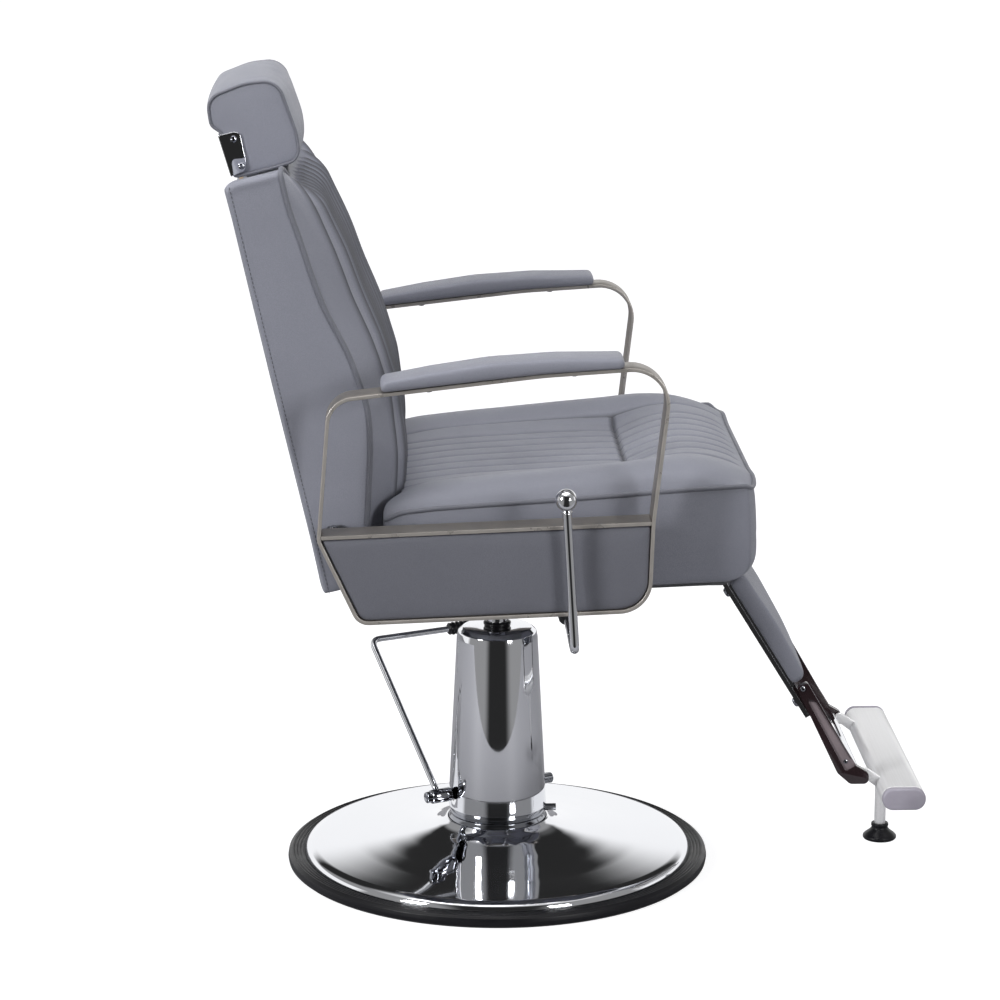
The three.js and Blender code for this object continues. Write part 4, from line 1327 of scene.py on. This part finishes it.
# %% Screws
def screw_head(radius=1.0):
    profile = [(0.0, 0.25), (0.52, 0.25), (0.52, 0.62), (0.80, 0.50), (1.0, 0.18), (1.0, 0.0)]
    points, faces = [(0, 0, 0.25)], []
    steps = 24
    for ring, (reach, height) in enumerate(profile[1:]):
        for step in range(steps):
            angle = 2 * math.pi * step / steps
            flat = 1.0
            if ring < 2:
                turn = (angle % (math.pi / 3)) - math.pi / 6
                flat = math.cos(math.pi / 6) / math.cos(turn)
            points.append((reach * flat * math.cos(angle) * radius, reach * flat * math.sin(angle) * radius,
                           height * radius))
    for step in range(steps):
        side = (step + 1) % steps
        faces.append((0, 1 + step, 1 + side))
        for ring in range(len(profile) - 2):
            low, high = 1 + ring * steps, 1 + (ring + 1) * steps
            faces.append((low + step, high + step, high + side, low + side))
    faces.append(tuple(1 + (len(profile) - 2) * steps + step for step in reversed(range(steps))))
    made = outwards(piece("screw_head", points, faces, dark_chrome, False))
    made.hide_render = True
    return made


def screw_tree(head):
    group, start, end = tree("screws", {"Size": 0.004})
    nodes, links = group.nodes, group.links
    source = nodes.new("GeometryNodeObjectInfo")
    source.inputs["Object"].default_value = head
    way = nodes.new("GeometryNodeInputNamedAttribute")
    way.data_type = "FLOAT_VECTOR"
    way.inputs["Name"].default_value = "facing"
    turn = nodes.new("FunctionNodeAlignRotationToVector")
    turn.axis = "Z"
    place = nodes.new("GeometryNodeInstanceOnPoints")
    links.new(start.outputs[0], place.inputs["Points"])
    links.new(source.outputs["Geometry"], place.inputs["Instance"])
    links.new(way.outputs["Attribute"], turn.inputs["Vector"])
    links.new(turn.outputs["Rotation"], place.inputs["Rotation"])
    links.new(start.outputs["Size"], place.inputs["Scale"])
    return close(group, place.outputs[0], end, dark_chrome)


HEAD = screw_head()
SCREWS = screw_tree(HEAD)


def screws(name, spots, facings, size, body, slot="chrome"):
    mesh = bpy.data.meshes.new(name)
    mesh.from_pydata([tuple(spot) for spot in spots], [], [])
    facing = mesh.attributes.new("facing", "FLOAT_VECTOR", "POINT")
    facing.data.foreach_set("vector", np.asarray(facings, float).ravel())
    made = bpy.data.objects.new(name, mesh)
    bpy.context.scene.collection.objects.link(made)
    grow = made.modifiers.new("grow", "NODES")
    grow.node_group = SCREWS
    for socket in SCREWS.interface.items_tree:
        if socket.in_out == "INPUT" and socket.name == "Size":
            grow[socket.identifier] = size
    carry(freeze(made), body, slot)


def both(spots, distance):
    return [(x / 1000, side * distance, z / 1000) for side in SIDES for x, z in spots], \
        [(0, side, 0) for side in SIDES for _ in spots]


screws("headrest_screws", *both([(-355.1, 1054.5), (-345, 1018.7)], 0.1333), 0.0046, "headrest")
screws("leg_screws", *both([(417.4, 291)], 0.150), 0.0040, "legrest")
screws("panel_screws", *both([(479.5, 184)], 0.1462), 0.0034, "legrest")
strap_spots = leg_frame([(x, y, -0.0063) for x in (0.035, 0.222) for y in (-0.125, 0.125)])
strap_way = leg_frame([(0, 0, -1)])[0] - leg_frame([(0, 0, 0)])[0]
screws("strap_bolts", strap_spots, [strap_way] * 4, 0.007, "legrest")
pad_spots = seat_frame([(x, side * ARM_Y, z) for side in SIDES for x, z in ((-0.09, 0.2916), (0.1, 0.3043))])
screws("arm_pad_screws", pad_spots, [(0, 0, -1)] * 4, 0.0055, "seat")
band_spots = seat_frame([(x, side * ARM_Y, -0.016) for side in SIDES for x in (-0.11, 0.1)])
screws("band_bolts", band_spots, [(0, 0, -1)] * 4, 0.007, "seat")
hinge_spots = [(x, side * 0.262, z) for side in SIDES for x, z in ((-0.214, 0.522), (-0.226, 0.55))]
screws("hinge_bolts", hinge_spots, [(0, side, 0) for side in SIDES for _ in range(2)], 0.007, "back")
bpy.data.objects.remove(HEAD)

# %% [markdown]
# ## The rest of the frame
#
# What is left of the CAD model is plain steel, wood and chrome under the seat. Its shapes are right as they
# are, so each node only gets its finish.

# %% Dress the carried-over nodes
FINISHES = {"steel": steel, "chrome": chrome, "nickel_band": nickel, "leather": seat_leather,
            "dark_leather": panel_leather, "rubber": rubber, "aluminium": aluminium,
            "cap_plastic": cap_plastic, "gloss_black": gloss_black, "plywood": board_wood}
slots = {part["node"]: part["material_slot"] for part in frame["record"]["subparts"]}
for node, made in frame["nodes"].items():
    made.data.materials.clear()
    made.data.materials.append(FINISHES[slots[node]])
print("dressed", len(frame["nodes"]), "nodes")

# %% [markdown]
# ## The studio
#
# A plain pale floor, a soft light overhead, a key light on the left and a weaker fill on the right. Chrome
# needs something dark to reflect or it looks like paint. So the sky is a white backdrop low down behind the
# chair, grey at the sides, bright overhead, and dark between the two and in front. The camera itself always
# sees a white background, and a floor bright enough to meet it without a line.

# %% The studio
def floor():
    graph = Graph("studio_floor")
    tone = graph.mix(graph.noise(0.6, 2.0), (0.34, 0.34, 0.36), (0.37, 0.37, 0.39))
    seen = graph.add("ShaderNodeLightPath").outputs["Is Camera Ray"]
    graph.link(graph.mix(seen, (0, 0, 0), (1, 1, 1)), graph.shader, "Emission Color")
    material = graph.finish(tone, Roughness=0.7, Emission_Strength=0.86, Specular_IOR_Level=0.1)
    corners = [(-7, -0.64, 0), (7, -0.64, 0), (7, 24, 0), (-7, 24, 0)]
    piece("floor", corners, [(0, 1, 2, 3)], material, False)


def lamp(name, place, target, size, power):
    data = bpy.data.lights.new(name, "AREA")
    data.shape = "RECTANGLE"
    data.size, data.size_y = size
    data.energy = power
    made = bpy.data.objects.new(name, data)
    made.location = place
    made.rotation_euler = (Vector(target) - Vector(place)).to_track_quat("-Z", "Y").to_euler()
    bpy.context.scene.collection.objects.link(made)


def between(nodes, links, source, low, high):
    node = nodes.new("ShaderNodeMapRange")
    node.interpolation_type = "SMOOTHSTEP"
    node.inputs["From Min"].default_value = low
    node.inputs["From Max"].default_value = high
    links.new(source, node.inputs["Value"])
    return node.outputs["Result"]


def joined(nodes, links, kind, first, second):
    node = nodes.new("ShaderNodeMath")
    node.operation = kind
    links.new(first, node.inputs[0])
    links.new(second, node.inputs[1])
    return node.outputs[0]


def scaled(nodes, links, source, factor):
    node = nodes.new("ShaderNodeMath")
    node.operation = "MULTIPLY"
    node.inputs[1].default_value = factor
    links.new(source, node.inputs[0])
    return node.outputs[0]


def sky():
    world = bpy.data.worlds.new("studio")
    bpy.context.scene.world = world
    world.use_nodes = True
    nodes, links = world.node_tree.nodes, world.node_tree.links
    background = nodes["Background"]
    place = nodes.new("ShaderNodeTexCoord")
    parts = nodes.new("ShaderNodeSeparateXYZ")
    links.new(place.outputs["Generated"], parts.inputs[0])
    behind = between(nodes, links, parts.outputs["Y"], -0.20, 0.10)
    low = between(nodes, links, parts.outputs["Z"], 0.47, 0.34)
    above = between(nodes, links, parts.outputs["Z"], 0.70, 0.90)
    right = between(nodes, links, parts.outputs["X"], 0.30, 0.60)
    left = between(nodes, links, parts.outputs["X"], -0.34, -0.60)
    backdrop = joined(nodes, links, "MULTIPLY", behind, low)
    sides = scaled(nodes, links, joined(nodes, links, "MAXIMUM", right, left), 0.28)
    ceiling = scaled(nodes, links, above, 0.75)
    lit = joined(nodes, links, "MAXIMUM", joined(nodes, links, "MAXIMUM", backdrop, sides), ceiling)
    tone = nodes.new("ShaderNodeMapRange")
    tone.inputs["To Min"].default_value = 0.025
    tone.inputs["To Max"].default_value = 1.1
    links.new(lit, tone.inputs["Value"])
    ray = nodes.new("ShaderNodeLightPath")
    seen = joined(nodes, links, "MAXIMUM", tone.outputs["Result"], ray.outputs["Is Camera Ray"])
    links.new(seen, background.inputs["Color"])
    background.inputs["Strength"].default_value = 1.0


floor()
sky()
lamp("overhead", (-0.3, -0.3, 3.2), (0, 0, 0.5), (2.4, 2.4), 44)
lamp("key", (-3.4, -2.6, 2.1), (0, 0, 0.7), (1.0, 1.6), 124)
lamp("fill", (2.6, -3.8, 1.7), (0, 0, 0.6), (1.0, 1.6), 68)
bpy.context.scene.view_settings.view_transform = "Standard"
